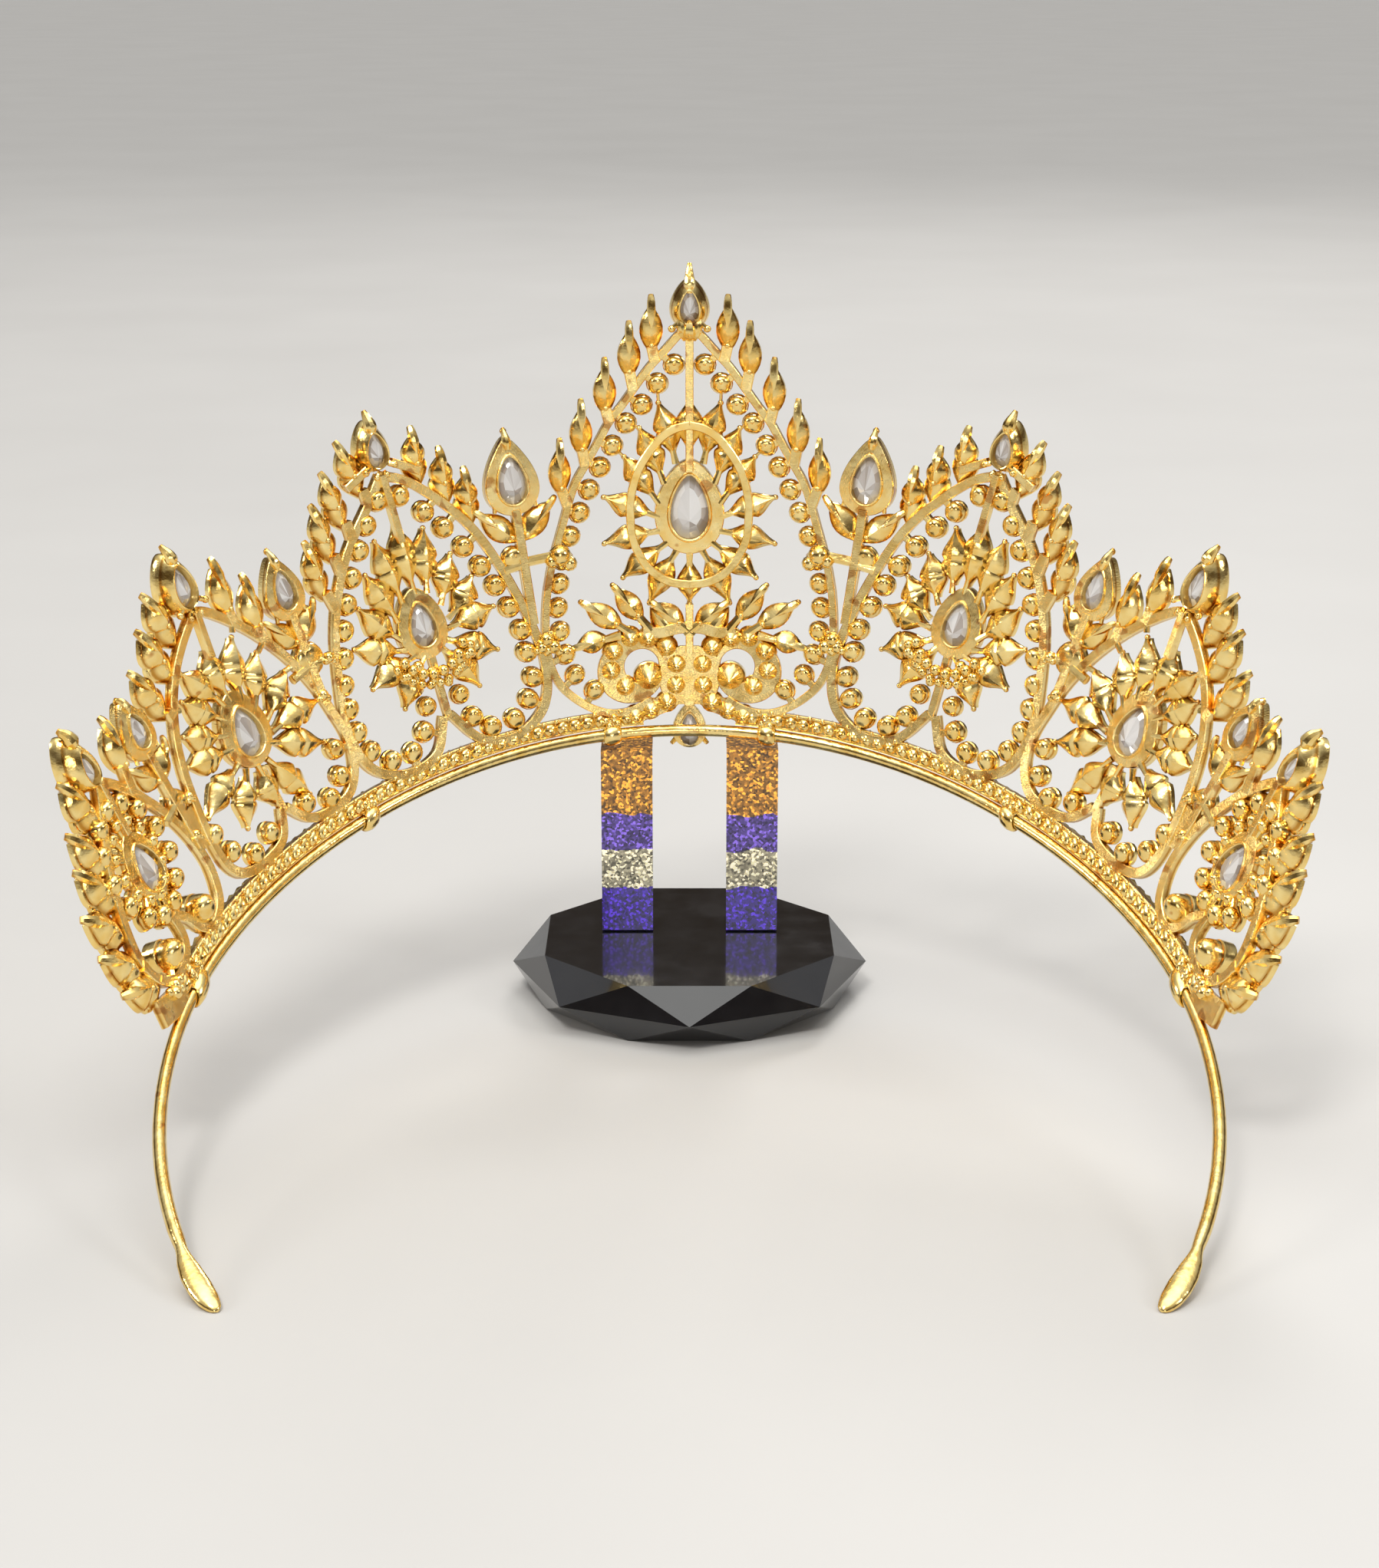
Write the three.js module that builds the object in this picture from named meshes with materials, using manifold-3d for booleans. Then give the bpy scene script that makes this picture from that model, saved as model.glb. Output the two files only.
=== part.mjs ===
// A pageant crown on a plain display stand: seven cast filigree panels and six
// pear finials soldered side by side on a beaded rail, clear pear stones set in
// their bezels, a bent headband wire held under the rail by folded tabs, and a
// faceted base with two posts that carry the front of the rail.
import * as THREE from 'three';
import { mergeVertices } from 'three/addons/utils/BufferGeometryUtils.js';
import Module from 'manifold-3d';

const wasm = await Module();
wasm.setup();
const { Manifold, Mesh } = wasm;
const rad = THREE.MathUtils.degToRad;

// ---------------------------------------------------------------- driving sizes
// Millimetres and degrees. The wearer's side faces -Y, the show side +Y.
const GAP = 0.3;            // running clearance between separate pieces
const STONE_GAP = 0.4;      // between a stone's corners and those of its opening

const HEADBAND = {
  radius: 74.4,             // mean radius of the bent wire in its own plane
  point: 1.7,               // how much the front and the widest part stand out
  lobes: 3.1,               // waves of that swing per radian turn
  armSpread: 0.0035,        // the arms open by this much per square degree past 90
  centre: 53.2,             // from the line of the tips to the middle of the arc
  tipAngle: 131,            // where the wire ends, from the front
  wire: 2.0,                // wire diameter
  tilt: 20,                 // the plane rises this much towards the front
  lift: 0.2,                // the tips' line above the ground
};
const PADDLE = { length: 11, width: 3.5, thickness: 1.5 };   // the flattened ends
const BELL = {              // the surface that all castings follow
  flare: 30,                // lean outward at the rail, from the band's normal
  curl: 0.0018,             // the flare lessens by twice this per mm, radians
  meanRadius: 75,           // turns widths along the rail into angles
};
const STRIP = 1.3;                         // width of the frame strips
const PETAL_VALLEY = 0.62;                 // of a petal's reach, between two petals
const RAIL = { bottom: 1.3, top: 3.9, half: 1.2, pieces: 30, endAngle: 85.5 };
const RAIL_END = [[-10, 3.3], [-17.6, 3.3]];           // a plain plate past its last cup
const WEB = [[9.4, 15], [13.5, 13.5]];                 // joins the rear panels low down
const TAB_THICKNESS = 0.55;
const TABS = [
  { azimuth: 9.8, width: 3.4 }, { azimuth: 44.6, width: 3.4 }, { azimuth: 81.5, width: 5 },
];
const STAND = {
  radius: 26,               // top and bottom octagons, to the corners
  girdle: 30,               // corners at half height
  height: 9.5,
  postWidth: 8.6,
  postDepth: 8,
  postCentre: 10.5,         // from the middle to each post
  postFront: 1.5,           // front face of the posts, from the base's middle
};
const BAND_TO_STAND = 117.5;               // the tips lie this far before its middle

// ------------------------------------------------------ the surface of the crown
// The wire's outline in its own plane: a circle with a gentle swing, and arms
// that open again behind the ears.
function planPoint(angle) {
  const behind = Math.max(Math.abs(THREE.MathUtils.radToDeg(angle)) - 90, 0);
  const swing = HEADBAND.point * Math.cos(HEADBAND.lobes * angle);
  const r = HEADBAND.radius + swing + HEADBAND.armSpread * behind ** 2;
  return new THREE.Vector2(r * Math.sin(angle), HEADBAND.centre + r * Math.cos(angle));
}

function planOutward(angle) {
  const step = 1e-4;
  const along = planPoint(angle + step).sub(planPoint(angle - step)).normalize();
  return new THREE.Vector2(-along.y, along.x);
}

const ALONG = new THREE.Vector3(0, Math.cos(rad(HEADBAND.tilt)), Math.sin(rad(HEADBAND.tilt)));
const NORMAL = new THREE.Vector3(0, -Math.sin(rad(HEADBAND.tilt)), Math.cos(rad(HEADBAND.tilt)));

// From the band's plane to the model: across, along the plane, and off it.
function bandPoint(across, along, off = 0) {
  return new THREE.Vector3(across, -BAND_TO_STAND, HEADBAND.lift)
    .addScaledVector(ALONG, along)
    .addScaledVector(NORMAL, off);
}

// A point of the castings: x along the rail from the panel's middle, y up the
// curved profile, w outward through the metal.
function bellPoint(azimuth, x, y, w) {
  const start = rad(BELL.flare);
  const lean = start - 2 * BELL.curl * y;
  const out = (Math.cos(lean) - Math.cos(start)) / (2 * BELL.curl);
  const up = (Math.sin(start) - Math.sin(lean)) / (2 * BELL.curl);
  const angle = rad(azimuth) + x / (BELL.meanRadius + out);
  const foot = planPoint(angle);
  foot.addScaledVector(planOutward(angle), out + w * Math.cos(lean));
  return bandPoint(foot.x, foot.y, up - w * Math.sin(lean));
}

// A place on the crown: where a panel stands and which hand it is. Left-hand
// panels are drawn with x towards the front; right-hand ones are their mirrors.
function place(azimuth, mirrored = false) {
  return (x, y, w) => {
    const p = bellPoint(-azimuth, x, y, w);
    if (mirrored) {
      p.x = -p.x;
    }
    return p;
  };
}

// ------------------------------------------------------------- closed small solids
// corners are [x, y, w] on the chart, faces are corner numbers. The winding is
// put right from the volume, because a mirrored panel turns it round.
function solidOf(at, corners, faces) {
  const points = corners.map(([x, y, w]) => at(x, y, w));
  let volume = 0;
  for (const [a, b, c] of faces) {
    volume += points[a].dot(new THREE.Vector3().crossVectors(points[b], points[c]));
  }
  const turned = volume < 0 ? faces.map(([a, b, c]) => [a, c, b]) : faces;
  return new Manifold(new Mesh({
    numProp: 3,
    vertProperties: new Float32Array(points.flatMap((p) => p.toArray())),
    triVerts: new Uint32Array(turned.flat()),
  }));
}

// Triangles of a stack of rings with the same number of corners, capped or closed.
function ringFaces(rings, count, closed = false) {
  const faces = [];
  const last = closed ? rings : rings - 1;
  for (let i = 0; i < last; i++) {
    const here = i * count;
    const next = ((i + 1) % rings) * count;
    for (let k = 0; k < count; k++) {
      const k2 = (k + 1) % count;
      faces.push([here + k, here + k2, next + k2], [here + k, next + k2, next + k]);
    }
  }
  if (!closed) {
    const top = (rings - 1) * count;
    for (let k = 1; k < count - 1; k++) {
      faces.push([0, k + 1, k], [top, top + k, top + k + 1]);
    }
  }
  return faces;
}

// A flat strip of metal along a route of [x, y] points. With a bulge, every
// second point stands out on the left of the route (right, if it is negative),
// for the row of round cups that is cast along a frame.
function strip(at, route, { width = STRIP, back = -0.8, front = 0.8, bulge = 0 } = {}) {
  const corners = [];
  route.forEach(([x, y], i) => {
    const [ax, ay] = route[Math.max(i - 1, 0)];
    const [bx, by] = route[Math.min(i + 1, route.length - 1)];
    const length = Math.hypot(bx - ax, by - ay);
    const sx = -(by - ay) / length;
    const sy = (bx - ax) / length;
    const cup = i % 2 ? bulge : 0;
    const left = width / 2 + Math.max(cup, 0);
    const right = -width / 2 + Math.min(cup, 0);
    corners.push([x + sx * left, y + sy * left, back], [x + sx * right, y + sy * right, back]);
    corners.push([x + sx * right, y + sy * right, front], [x + sx * left, y + sy * left, front]);
  });
  return solidOf(at, corners, ringFaces(route.length, 4));
}

// A smooth route through a few points, in equal steps.
function smooth(points, steps) {
  const curve = new THREE.CatmullRomCurve3(points.map(([x, y]) => new THREE.Vector3(x, y, 0)));
  return curve.getSpacedPoints(steps).map((p) => [p.x, p.y]);
}

// A round cup seen from behind: a six-sided dome with its rim to the front.
function bead(at, x, y, radius, depth = 1.5) {
  const sides = 6;
  const corners = [[x, y, -depth]];
  for (let k = 0; k < sides; k++) {
    const turn = rad(360 / sides * k);
    corners.push([x + radius * Math.cos(turn), y + radius * Math.sin(turn), 0.2]);
  }
  corners.push([x, y, depth * 0.8]);
  const faces = [];
  for (let k = 0; k < sides; k++) {
    const a = 1 + k;
    const b = 1 + (k + 1) % sides;
    faces.push([0, b, a], [sides + 1, a, b]);
  }
  return solidOf(at, corners, faces);
}

// A pointed cup, ridged behind. It runs from its foot to its tip.
function leaf(at, foot, tip, width, depth = 1.5) {
  const [fx, fy] = foot;
  const [tx, ty] = tip;
  const length = Math.hypot(tx - fx, ty - fy);
  const sx = -(ty - fy) / length * width / 2;
  const sy = (tx - fx) / length * width / 2;
  const mx = fx + (tx - fx) * 0.42;
  const my = fy + (ty - fy) * 0.42;
  const corners = [
    [fx, fy, 0], [mx + sx, my + sy, 0.3], [tx, ty, 0], [mx - sx, my - sy, 0.3],
    [mx, my, -depth], [mx, my, depth],
  ];
  const faces = [
    [0, 1, 4], [1, 2, 4], [2, 3, 4], [3, 0, 4],
    [1, 0, 5], [2, 1, 5], [3, 2, 5], [0, 3, 5],
  ];
  return solidOf(at, corners, faces);
}

// The outline of a pear, round below and drawn to a point above. turn is 0 at
// the point and runs clockwise.
function pearPoint(width, height, turn) {
  const narrow = 1.12 * (1 - 0.42 * (0.5 + 0.5 * Math.cos(turn)) ** 1.5);
  return [width / 2 * Math.sin(turn) * narrow, height / 2 * Math.cos(turn)];
}

function pearOutline(x, y, width, height, turns) {
  return turns.map((turn) => {
    const [dx, dy] = pearPoint(width, height, turn);
    return [x + dx, y + dy];
  });
}

function evenTurns(count) {
  return Array.from({ length: count }, (_, k) => 2 * Math.PI * k / count);
}

// A plate with an opening a little wider than its stone. edge is the plate's
// outline, with one turn of the opening for each of its corners.
function settingPlate(at, edge, turns, { x = 0, y, stone, back = -0.9, front = 1.6 }, rim = {}) {
  const [sw, sh, sy] = stone;
  const opening = pearOutline(x, sy ?? y, sw + 2 * STONE_GAP, sh + 2 * STONE_GAP, turns);
  const corners = [
    ...edge.map(([a, b]) => [a, b, rim.back ?? back]),
    ...edge.map(([a, b]) => [a, b, rim.front ?? front]),
    ...opening.map(([a, b]) => [a, b, front]),
    ...opening.map(([a, b]) => [a, b, back]),
  ];
  return solidOf(at, corners, ringFaces(4, edge.length, true));
}

// A bezel: a pear-shaped plate round its stone, drawn up into a spike.
function bezel(at, setting) {
  const turns = evenTurns(8);
  const edge = pearOutline(setting.x ?? 0, setting.y, setting.width, setting.height, turns);
  edge[0][1] = setting.spike ?? edge[0][1];
  return settingPlate(at, edge, turns, setting);
}

// A medallion: the plate round its stone runs out into pointed petals.
function medallion(at, medal, petals) {
  const both = petals.flatMap(({ turn, reach }) => (Math.abs(turn) === 90
    ? [{ turn: 90 - turn, reach }]
    : [{ turn: 90 - turn, reach }, { turn: 270 + turn, reach }]));
  both.sort((p, q) => p.turn - q.turn);
  const edge = [];
  const turns = [];
  both.forEach(({ turn, reach }, i) => {
    const next = both[(i + 1) % both.length];
    const after = next.turn + (next.turn <= turn ? 360 : 0);
    const valley = Math.min(reach, next.reach) * PETAL_VALLEY;
    for (const [degrees, length] of [[turn, reach], [(turn + after) / 2, valley]]) {
      const [ux, uy] = [Math.sin(rad(degrees)), Math.cos(rad(degrees))];
      edge.push([(medal.x ?? 0) + ux * length, medal.y + uy * length]);
      turns.push(Math.atan2(ux / medal.width, uy / medal.height));
    }
  });
  return settingPlate(at, edge, turns, medal, { back: -0.4, front: 0.4 });
}

// The stone in it: a girdle, a table in front and a point behind.
function pearStone(at, { x = 0, y, stone, back = -0.9, front = 1.6 }, count = 8) {
  const [sw, sh, sy] = stone;
  const girdle = pearOutline(x, sy ?? y, sw, sh, evenTurns(count));
  const table = pearOutline(x, sy ?? y, sw * 0.6, sh * 0.6, evenTurns(count));
  const middle = (back + front) / 2;
  const corners = [
    ...table.map(([a, b]) => [a, b, back + 0.3]),
    ...girdle.map(([a, b]) => [a, b, middle]),
    ...table.map(([a, b]) => [a, b, front + 0.2]),
  ];
  return solidOf(at, corners, ringFaces(3, count));
}

// ------------------------------------------------------------------ panel designs
// x runs towards the front of the crown on the side panels. Every row is in mm
// on the bell surface, y measured from the middle of the wire.

// route: the frame from the apex down one side to the foot. step: its pieces.
// leaves: their tips on the outer edge of that side, each with its lean.
// cups: how many round cups are cast along the inside of that side.
const CENTRE = {
  azimuth: 0,
  sides: [{
    route: [[0, 66.5], [4, 63], [8.5, 57.3], [13.4, 50.2], [18.3, 41.8], [21.7, 31.8],
      [23.3, 22.3], [23.3, 14.5], [20.9, 9.2], [16, 5], [10.8, 4.1], [7, 4.6]],
    cups: 16,
    leaves: [[5.8, 72.2, 1], [9.2, 68, 1], [13, 62.4, 1], [16.7, 55.9, 1], [20.2, 50, 1]],
  }],
  spine: [[0, 66.5], [0, 44]],
  top: { y: 70.4, width: 5.9, height: 8.1, stone: [2.6, 5], spike: 77.4 },
  medal: { y: 37.4, width: 10.5, height: 15.2, stone: [6.1, 10.3] },
  petals: [
    { turn: 90, reach: 17.5 }, { turn: 73, reach: 17.1 }, { turn: 56, reach: 14.5 },
    { turn: 38, reach: 13 }, { turn: 7.5, reach: 13.7 }, { turn: -24, reach: 14.9 },
    { turn: -48, reach: 16.1 }, { turn: -69, reach: 17.5 }, { turn: -90, reach: 17 },
  ],
};
const MIDDLE = {
  azimuth: 29.6,
  sides: [{
    route: [[0, 50.7], [-4.4, 47.4], [-10.6, 40.7], [-15.2, 32.5], [-17.8, 23.5],
      [-18.9, 14.5], [-16.5, 7.6], [-10.5, 4.2], [-4.2, 5.2], [0, 10]],
    cups: 14,
    leaves: [[-6.3, 58, -7], [-9.9, 54.4, -7], [-13.2, 50.2, -7], [-16.2, 45.5, -7]],
  }, {
    route: [[0, 50.7], [4.3, 48.6], [10.6, 41.2], [14.4, 33.5], [17.2, 23.5],
      [18.1, 14.5], [15.8, 7.5], [10, 3.9], [4, 5.2], [0, 10]],
    cups: 14,
    leaves: [[6.7, 57, 6], [10.6, 52.8, 6], [13.8, 48.6, 6]],
  }],
  spine: [[0, 50.7], [0, 31]],
  foot: [[0, 21], [0, 9]],
  top: { y: 55.2, width: 6, height: 8.6, stone: [2.2, 4.7, 54.6], spike: 61.8 },
  medal: { y: 26.2, width: 9, height: 12, stone: [4.2, 6.7, 25.1] },
  petals: [
    { turn: 90, reach: 16.9 }, { turn: 74, reach: 15.1 }, { turn: 53, reach: 12.5 },
    { turn: 29, reach: 11 }, { turn: 0, reach: 13 }, { turn: -31, reach: 13.6 },
    { turn: -60, reach: 14.2 },
  ],
  cups: [[-2.1, 13.7, 1.6], [2.1, 13.7, 1.6]],
};
const OUTER = {
  azimuth: 54.9,
  sides: [{
    route: [[0, 44.4], [-5.7, 39.2], [-10.9, 33.2], [-14.2, 25.3], [-16.2, 17],
      [-16.9, 11], [-14.2, 6.6], [-8.5, 4.4], [-3, 5.8], [0, 10]],
    leaves: [[-8.6, 51.2, -19], [-12.6, 47, -19], [-17.1, 42.7, -24]],
  }, {
    route: [[0, 44.4], [6, 40.1], [11.3, 34.2], [15.2, 27.2], [17.4, 19.5],
      [17.2, 12.5], [14, 6.8], [8.8, 4.4], [3.3, 5.9], [0, 10]],
    leaves: [[6.8, 50.1, 3], [11.1, 45.4, 3]],
  }],
  spine: [[0, 44.4], [0, 29]],
  foot: [[0, 18], [0, 9]],
  top: { y: 48.8, width: 7.6, height: 9, stone: [2.8, 4.8, 48], spike: 54.4 },
  medal: { y: 23.7, width: 10, height: 12.6, stone: [5.4, 7.5, 23.2] },
  petals: [
    { turn: 90, reach: 15.2 }, { turn: 62, reach: 15.3 }, { turn: 43, reach: 13.6 },
    { turn: 20, reach: 13.4 }, { turn: -3, reach: 14.7 }, { turn: -31, reach: 16 },
    { turn: -61, reach: 14.5 }, { turn: -90, reach: 12.5 },
  ],
  cups: [[-14.6, 14.4, 1.6], [-13.9, 10.2, 1.7], [-9.9, 7.5, 1.7], [-5, 8.7, 1.7],
    [14.8, 13.9, 1.6], [12.9, 9.6, 1.7], [8, 7.2, 1.7], [4, 8.8, 1.7]],
};
const END = {
  azimuth: 76.9,
  sides: [{
    route: [[1.5, 34], [-3.4, 30.4], [-7.4, 25.5], [-10.6, 19.8], [-12, 13.5],
      [-10.8, 7.4], [-7, 4.2], [-2.8, 4.9], [0.6, 10.5]],
    leaves: [[-7, 40, -8], [-11.9, 34.6, -22], [-16.3, 30, -35], [-19.8, 25, -40],
      [-22.6, 19.2, -47], [-22.8, 13.4, -52]],
  }, {
    route: [[1.5, 34], [4.8, 30.6], [8.6, 25], [11.4, 18.7], [12.5, 12], [11, 6.9],
      [6.5, 4.1], [2.6, 5.4], [0.6, 10.5]],
    leaves: [[8.6, 40.6, 14]],
  }],
  spine: [[1.5, 34], [0.8, 25]],
  foot: [[0.5, 16], [0.6, 9.5]],
  top: { x: 1.5, y: 39, width: 7.4, height: 9.6, stone: [2.8, 4.6, 37.8], spike: 45.1 },
  medal: { x: 0.5, y: 20.8, width: 8.8, height: 11.4, stone: [5.7, 7.9, 20.4] },
  petals: [
    { turn: 90, reach: 10 }, { turn: 62, reach: 9.6 }, { turn: 35, reach: 9.2 },
    { turn: 8, reach: 8.9 }, { turn: -20, reach: 9 }, { turn: -50, reach: 9.4 },
    { turn: -90, reach: 8 },
  ],
  cups: [[-7.2, 8, 2.6], [5.2, 7.6, 2.6]],
};
// Pear finials between the panels, at their azimuth. y: middle of the bezel.
const FINIALS = [
  { name: 'front', azimuth: 16.8, y: 44.4, width: 9.1, height: 13, stone: [4.9, 8.1],
    spike: 53.1, leafSpan: 6.3, leafTop: 40.6, domeY: 31.8, footY: 21.5 },
  { name: 'middle', azimuth: 43.2, y: 40.5, width: 7.8, height: 10.4, stone: [3.6, 5.6],
    spike: 47.1, leafSpan: 5.2, leafTop: 36.6, domeY: 28.4, footY: 20.5 },
  { name: 'rear', azimuth: 67.6, y: 36.5, width: 7.6, height: 9.8, stone: [3.4, 5],
    spike: 42.2, leafSpan: 5, leafTop: 31.2, domeY: 23, footY: 14 },
];
// The front panel's lower scrolls, and the leaves round them, from foot to tip.
const SCROLL = { x: 9.4, y: 11, radius: 5, width: 3.2, start: -150, sweep: 290 };
const SCROLL_BEAD = [7.4, 9.6, 2.3];
const SCROLL_LEAVES = [
  { foot: [7.4, 16], tip: [12.2, 24.8] }, { foot: [10.6, 16.5], tip: [17.4, 22.6] },
  { foot: [12.4, 15.2], tip: [19.3, 15.7] }, { foot: [0.4, 15.5], tip: [6.3, 21.6] },
];
const FRONT_DROP = { x: 0, y: 1.9, width: 5.5, height: 7, stone: [2.4, 3.4, 1.6],
  back: 1.4, front: 3.4 };

// ----------------------------------------------------------------- building pieces
const LEAF = { length: 7.5, width: 3.7 };
const SCROLL_LEAF_WIDTH = 3;

function nearest(route, x, y) {
  const distance = ([px, py]) => Math.hypot(px - x, py - y);
  return route.reduce((best, point) => (distance(point) < distance(best) ? point : best));
}

// A cup's middle, moved straight towards the frame until the two bite.
function seated(route, x, y, radius) {
  const [nx, ny] = nearest(route, x, y);
  const distance = Math.hypot(nx - x, ny - y);
  const move = Math.max(distance - radius * 0.87 - STRIP / 2 + 0.4, 0) / distance;
  return [x + (nx - x) * move, y + (ny - y) * move];
}

// One side of a frame, with the cups inside it and the leaves outside.
function frameSide(at, side) {
  const inside = side.route[3][0] < 0 ? 1 : -1;
  const cups = side.cups ?? 0;
  const pieces = cups ? 2 * cups + 2 : 10;
  const half = inside > 0 ? 0.8 : 0.7;         // so that two strips never lie flush
  const shape = { bulge: cups ? inside * 3 : 0, back: -half, front: half };
  const parts = [strip(at, smooth(side.route, pieces), shape)];
  const fine = smooth(side.route, 96);
  for (const [x, y, lean] of side.leaves) {
    const fx = x - LEAF.length * Math.sin(rad(lean));
    const fy = y - LEAF.length * Math.cos(rad(lean));
    parts.push(leaf(at, nearest(fine, fx, fy), [x, y], LEAF.width));
  }
  return parts;
}

function panel(at, design) {
  const { top, medal, spine, foot } = design;
  const parts = design.sides.flatMap((side) => frameSide(at, side));
  parts.push(strip(at, spine, { width: 1.2, back: -0.6, front: 0.6 }), bezel(at, top));
  parts.push(medallion(at, medal, design.petals));
  if (foot) {
    parts.push(strip(at, foot, { width: 1.6, back: -0.55, front: 0.55 }));
  }
  const frames = design.sides.flatMap((side) => smooth(side.route, 96));
  for (const [x, y, size] of design.cups ?? []) {
    const [sx, sy] = seated(frames, x, y, size);
    parts.push(bead(at, sx, sy, size));
  }
  return parts;
}

// Half of the front panel's foot: a scroll that curls in to a bead, and leaves.
function frontScroll(at) {
  const arc = [];
  const pieces = 9;
  for (let k = 0; k <= pieces; k++) {
    const turn = rad(SCROLL.start + SCROLL.sweep * k / pieces);
    arc.push([SCROLL.x + SCROLL.radius * Math.cos(turn), SCROLL.y + SCROLL.radius * Math.sin(turn)]);
  }
  const parts = [strip(at, arc, { width: SCROLL.width })];
  parts.push(bead(at, ...SCROLL_BEAD, 2.2));
  for (const { foot, tip } of SCROLL_LEAVES) {
    parts.push(leaf(at, foot, tip, SCROLL_LEAF_WIDTH));
  }
  return parts;
}

function finial(at, f) {
  const low = f.y - f.height / 2;
  const parts = [bezel(at, f), bead(at, 0, f.domeY, 2.1)];
  parts.push(strip(at, [[0, low + 0.8], [0, f.footY]], { width: 1.6, back: -1, front: 1 }));
  for (const hand of [1, -1]) {
    parts.push(leaf(at, [0, low - 3], [hand * f.leafSpan, f.leafTop], 3.2));
  }
  return parts;
}

// The rail: the strip that every panel stands on, as thick as its row of cups.
function rail() {
  const corners = [];
  for (let i = 0; i <= RAIL.pieces; i++) {
    const x = (2 * i / RAIL.pieces - 1) * rad(RAIL.endAngle) * BELL.meanRadius;
    corners.push([x, RAIL.bottom, -RAIL.half], [x, RAIL.top, -RAIL.half]);
    corners.push([x, RAIL.top, RAIL.half], [x, RAIL.bottom, RAIL.half]);
  }
  return solidOf(place(0), corners, ringFaces(RAIL.pieces + 1, 4));
}

// A tab folded right round the wire, joined to the rail above it.
function tab(azimuth, width) {
  const inner = HEADBAND.wire / 2 + GAP;
  const outer = inner + TAB_THICKNESS;
  const corners = [];
  for (const [x, radius] of [[-width / 2, inner], [width / 2, inner], [width / 2, outer],
    [-width / 2, outer]]) {
    for (let k = 0; k < 8; k++) {
      const turn = rad(45 * k + 22.5);
      corners.push([x, radius * Math.sin(turn), radius * Math.cos(turn)]);
    }
  }
  return solidOf(place(azimuth), corners, ringFaces(4, 8, true));
}

function crownMetal() {
  const front = place(0);
  const otherHalf = (x, y, w) => front(-x, y, w);
  const parts = [rail(), ...panel(front, CENTRE), ...frameSide(otherHalf, CENTRE.sides[0])];
  parts.push(...frontScroll(front), ...frontScroll(otherHalf));
  parts.push(strip(front, [[0, 22.5], [0, 4.5]], { width: 5, back: -0.6, front: 0.6 }));
  parts.push(bezel(front, FRONT_DROP), strip(front, [[0, 7.5], [0, 4.6]], { width: 3, front: 2.4 }));
  for (const mirrored of [false, true]) {
    for (const design of [MIDDLE, OUTER, END]) {
      parts.push(...panel(place(design.azimuth, mirrored), design));
    }
    for (const f of FINIALS) {
      parts.push(...finial(place(f.azimuth, mirrored), f));
    }
    for (const { azimuth, width } of TABS) {
      parts.push(tab(mirrored ? -azimuth : azimuth, width));
    }
    const rear = place(END.azimuth, mirrored);
    parts.push(strip(rear, RAIL_END, { width: 3.8, back: -0.5, front: 0.5 }));
    parts.push(strip(rear, WEB, { width: 5, back: -0.6, front: 0.6 }));
  }
  return Manifold.union(parts);
}

// ------------------------------------------------------------------- scene graph
function geometryOf(solid) {
  const { vertProperties, triVerts } = solid.getMesh();
  const geometry = new THREE.BufferGeometry();
  geometry.setAttribute('position', new THREE.BufferAttribute(vertProperties, 3));
  geometry.setIndex(new THREE.BufferAttribute(triVerts, 1));
  geometry.computeVertexNormals();
  return geometry;
}

function manifoldOf(geometry) {
  geometry.deleteAttribute('normal');
  geometry.deleteAttribute('uv');
  const merged = mergeVertices(geometry, 1e-4);
  return new Manifold(new Mesh({
    numProp: 3,
    vertProperties: new Float32Array(merged.attributes.position.array),
    triVerts: new Uint32Array(merged.index.array),
  }));
}

const GOLD = new THREE.MeshStandardMaterial({ color: 0xd9a441, metalness: 1, roughness: 0.2 });
const CRYSTAL = new THREE.MeshStandardMaterial({ color: 0xe8ecf2, metalness: 0, roughness: 0.05 });
const BLACK = new THREE.MeshStandardMaterial({ color: 0x0b0b0d, metalness: 0, roughness: 0.12 });
const GLITTER = new THREE.MeshStandardMaterial({ color: 0x8a6a4a, metalness: 0, roughness: 0.3 });

const crown = new THREE.Group();

function add(name, geometry, material) {
  const mesh = new THREE.Mesh(geometry, material);
  mesh.name = name;
  crown.add(mesh);
  return mesh;
}

const metal = crownMetal();
add('crown_metal', geometryOf(metal), GOLD);

// The stones, one for every bezel.
add('stone_front_top', geometryOf(pearStone(place(0), CENTRE.top)), CRYSTAL);
add('stone_front_medal', geometryOf(pearStone(place(0), CENTRE.medal, 14)), CRYSTAL);
add('stone_front_drop', geometryOf(pearStone(place(0), FRONT_DROP)), CRYSTAL);
for (const [hand, mirrored] of [['left', false], ['right', true]]) {
  for (const [name, design] of [['middle', MIDDLE], ['outer', OUTER], ['end', END]]) {
    const at = place(design.azimuth, mirrored);
    add(`stone_${name}_top_${hand}`, geometryOf(pearStone(at, design.top)), CRYSTAL);
    add(`stone_${name}_medal_${hand}`, geometryOf(pearStone(at, design.medal, 14)), CRYSTAL);
  }
  for (const f of FINIALS) {
    const at = place(f.azimuth, mirrored);
    add(`stone_finial_${f.name}_${hand}`, geometryOf(pearStone(at, f)), CRYSTAL);
  }
}

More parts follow.
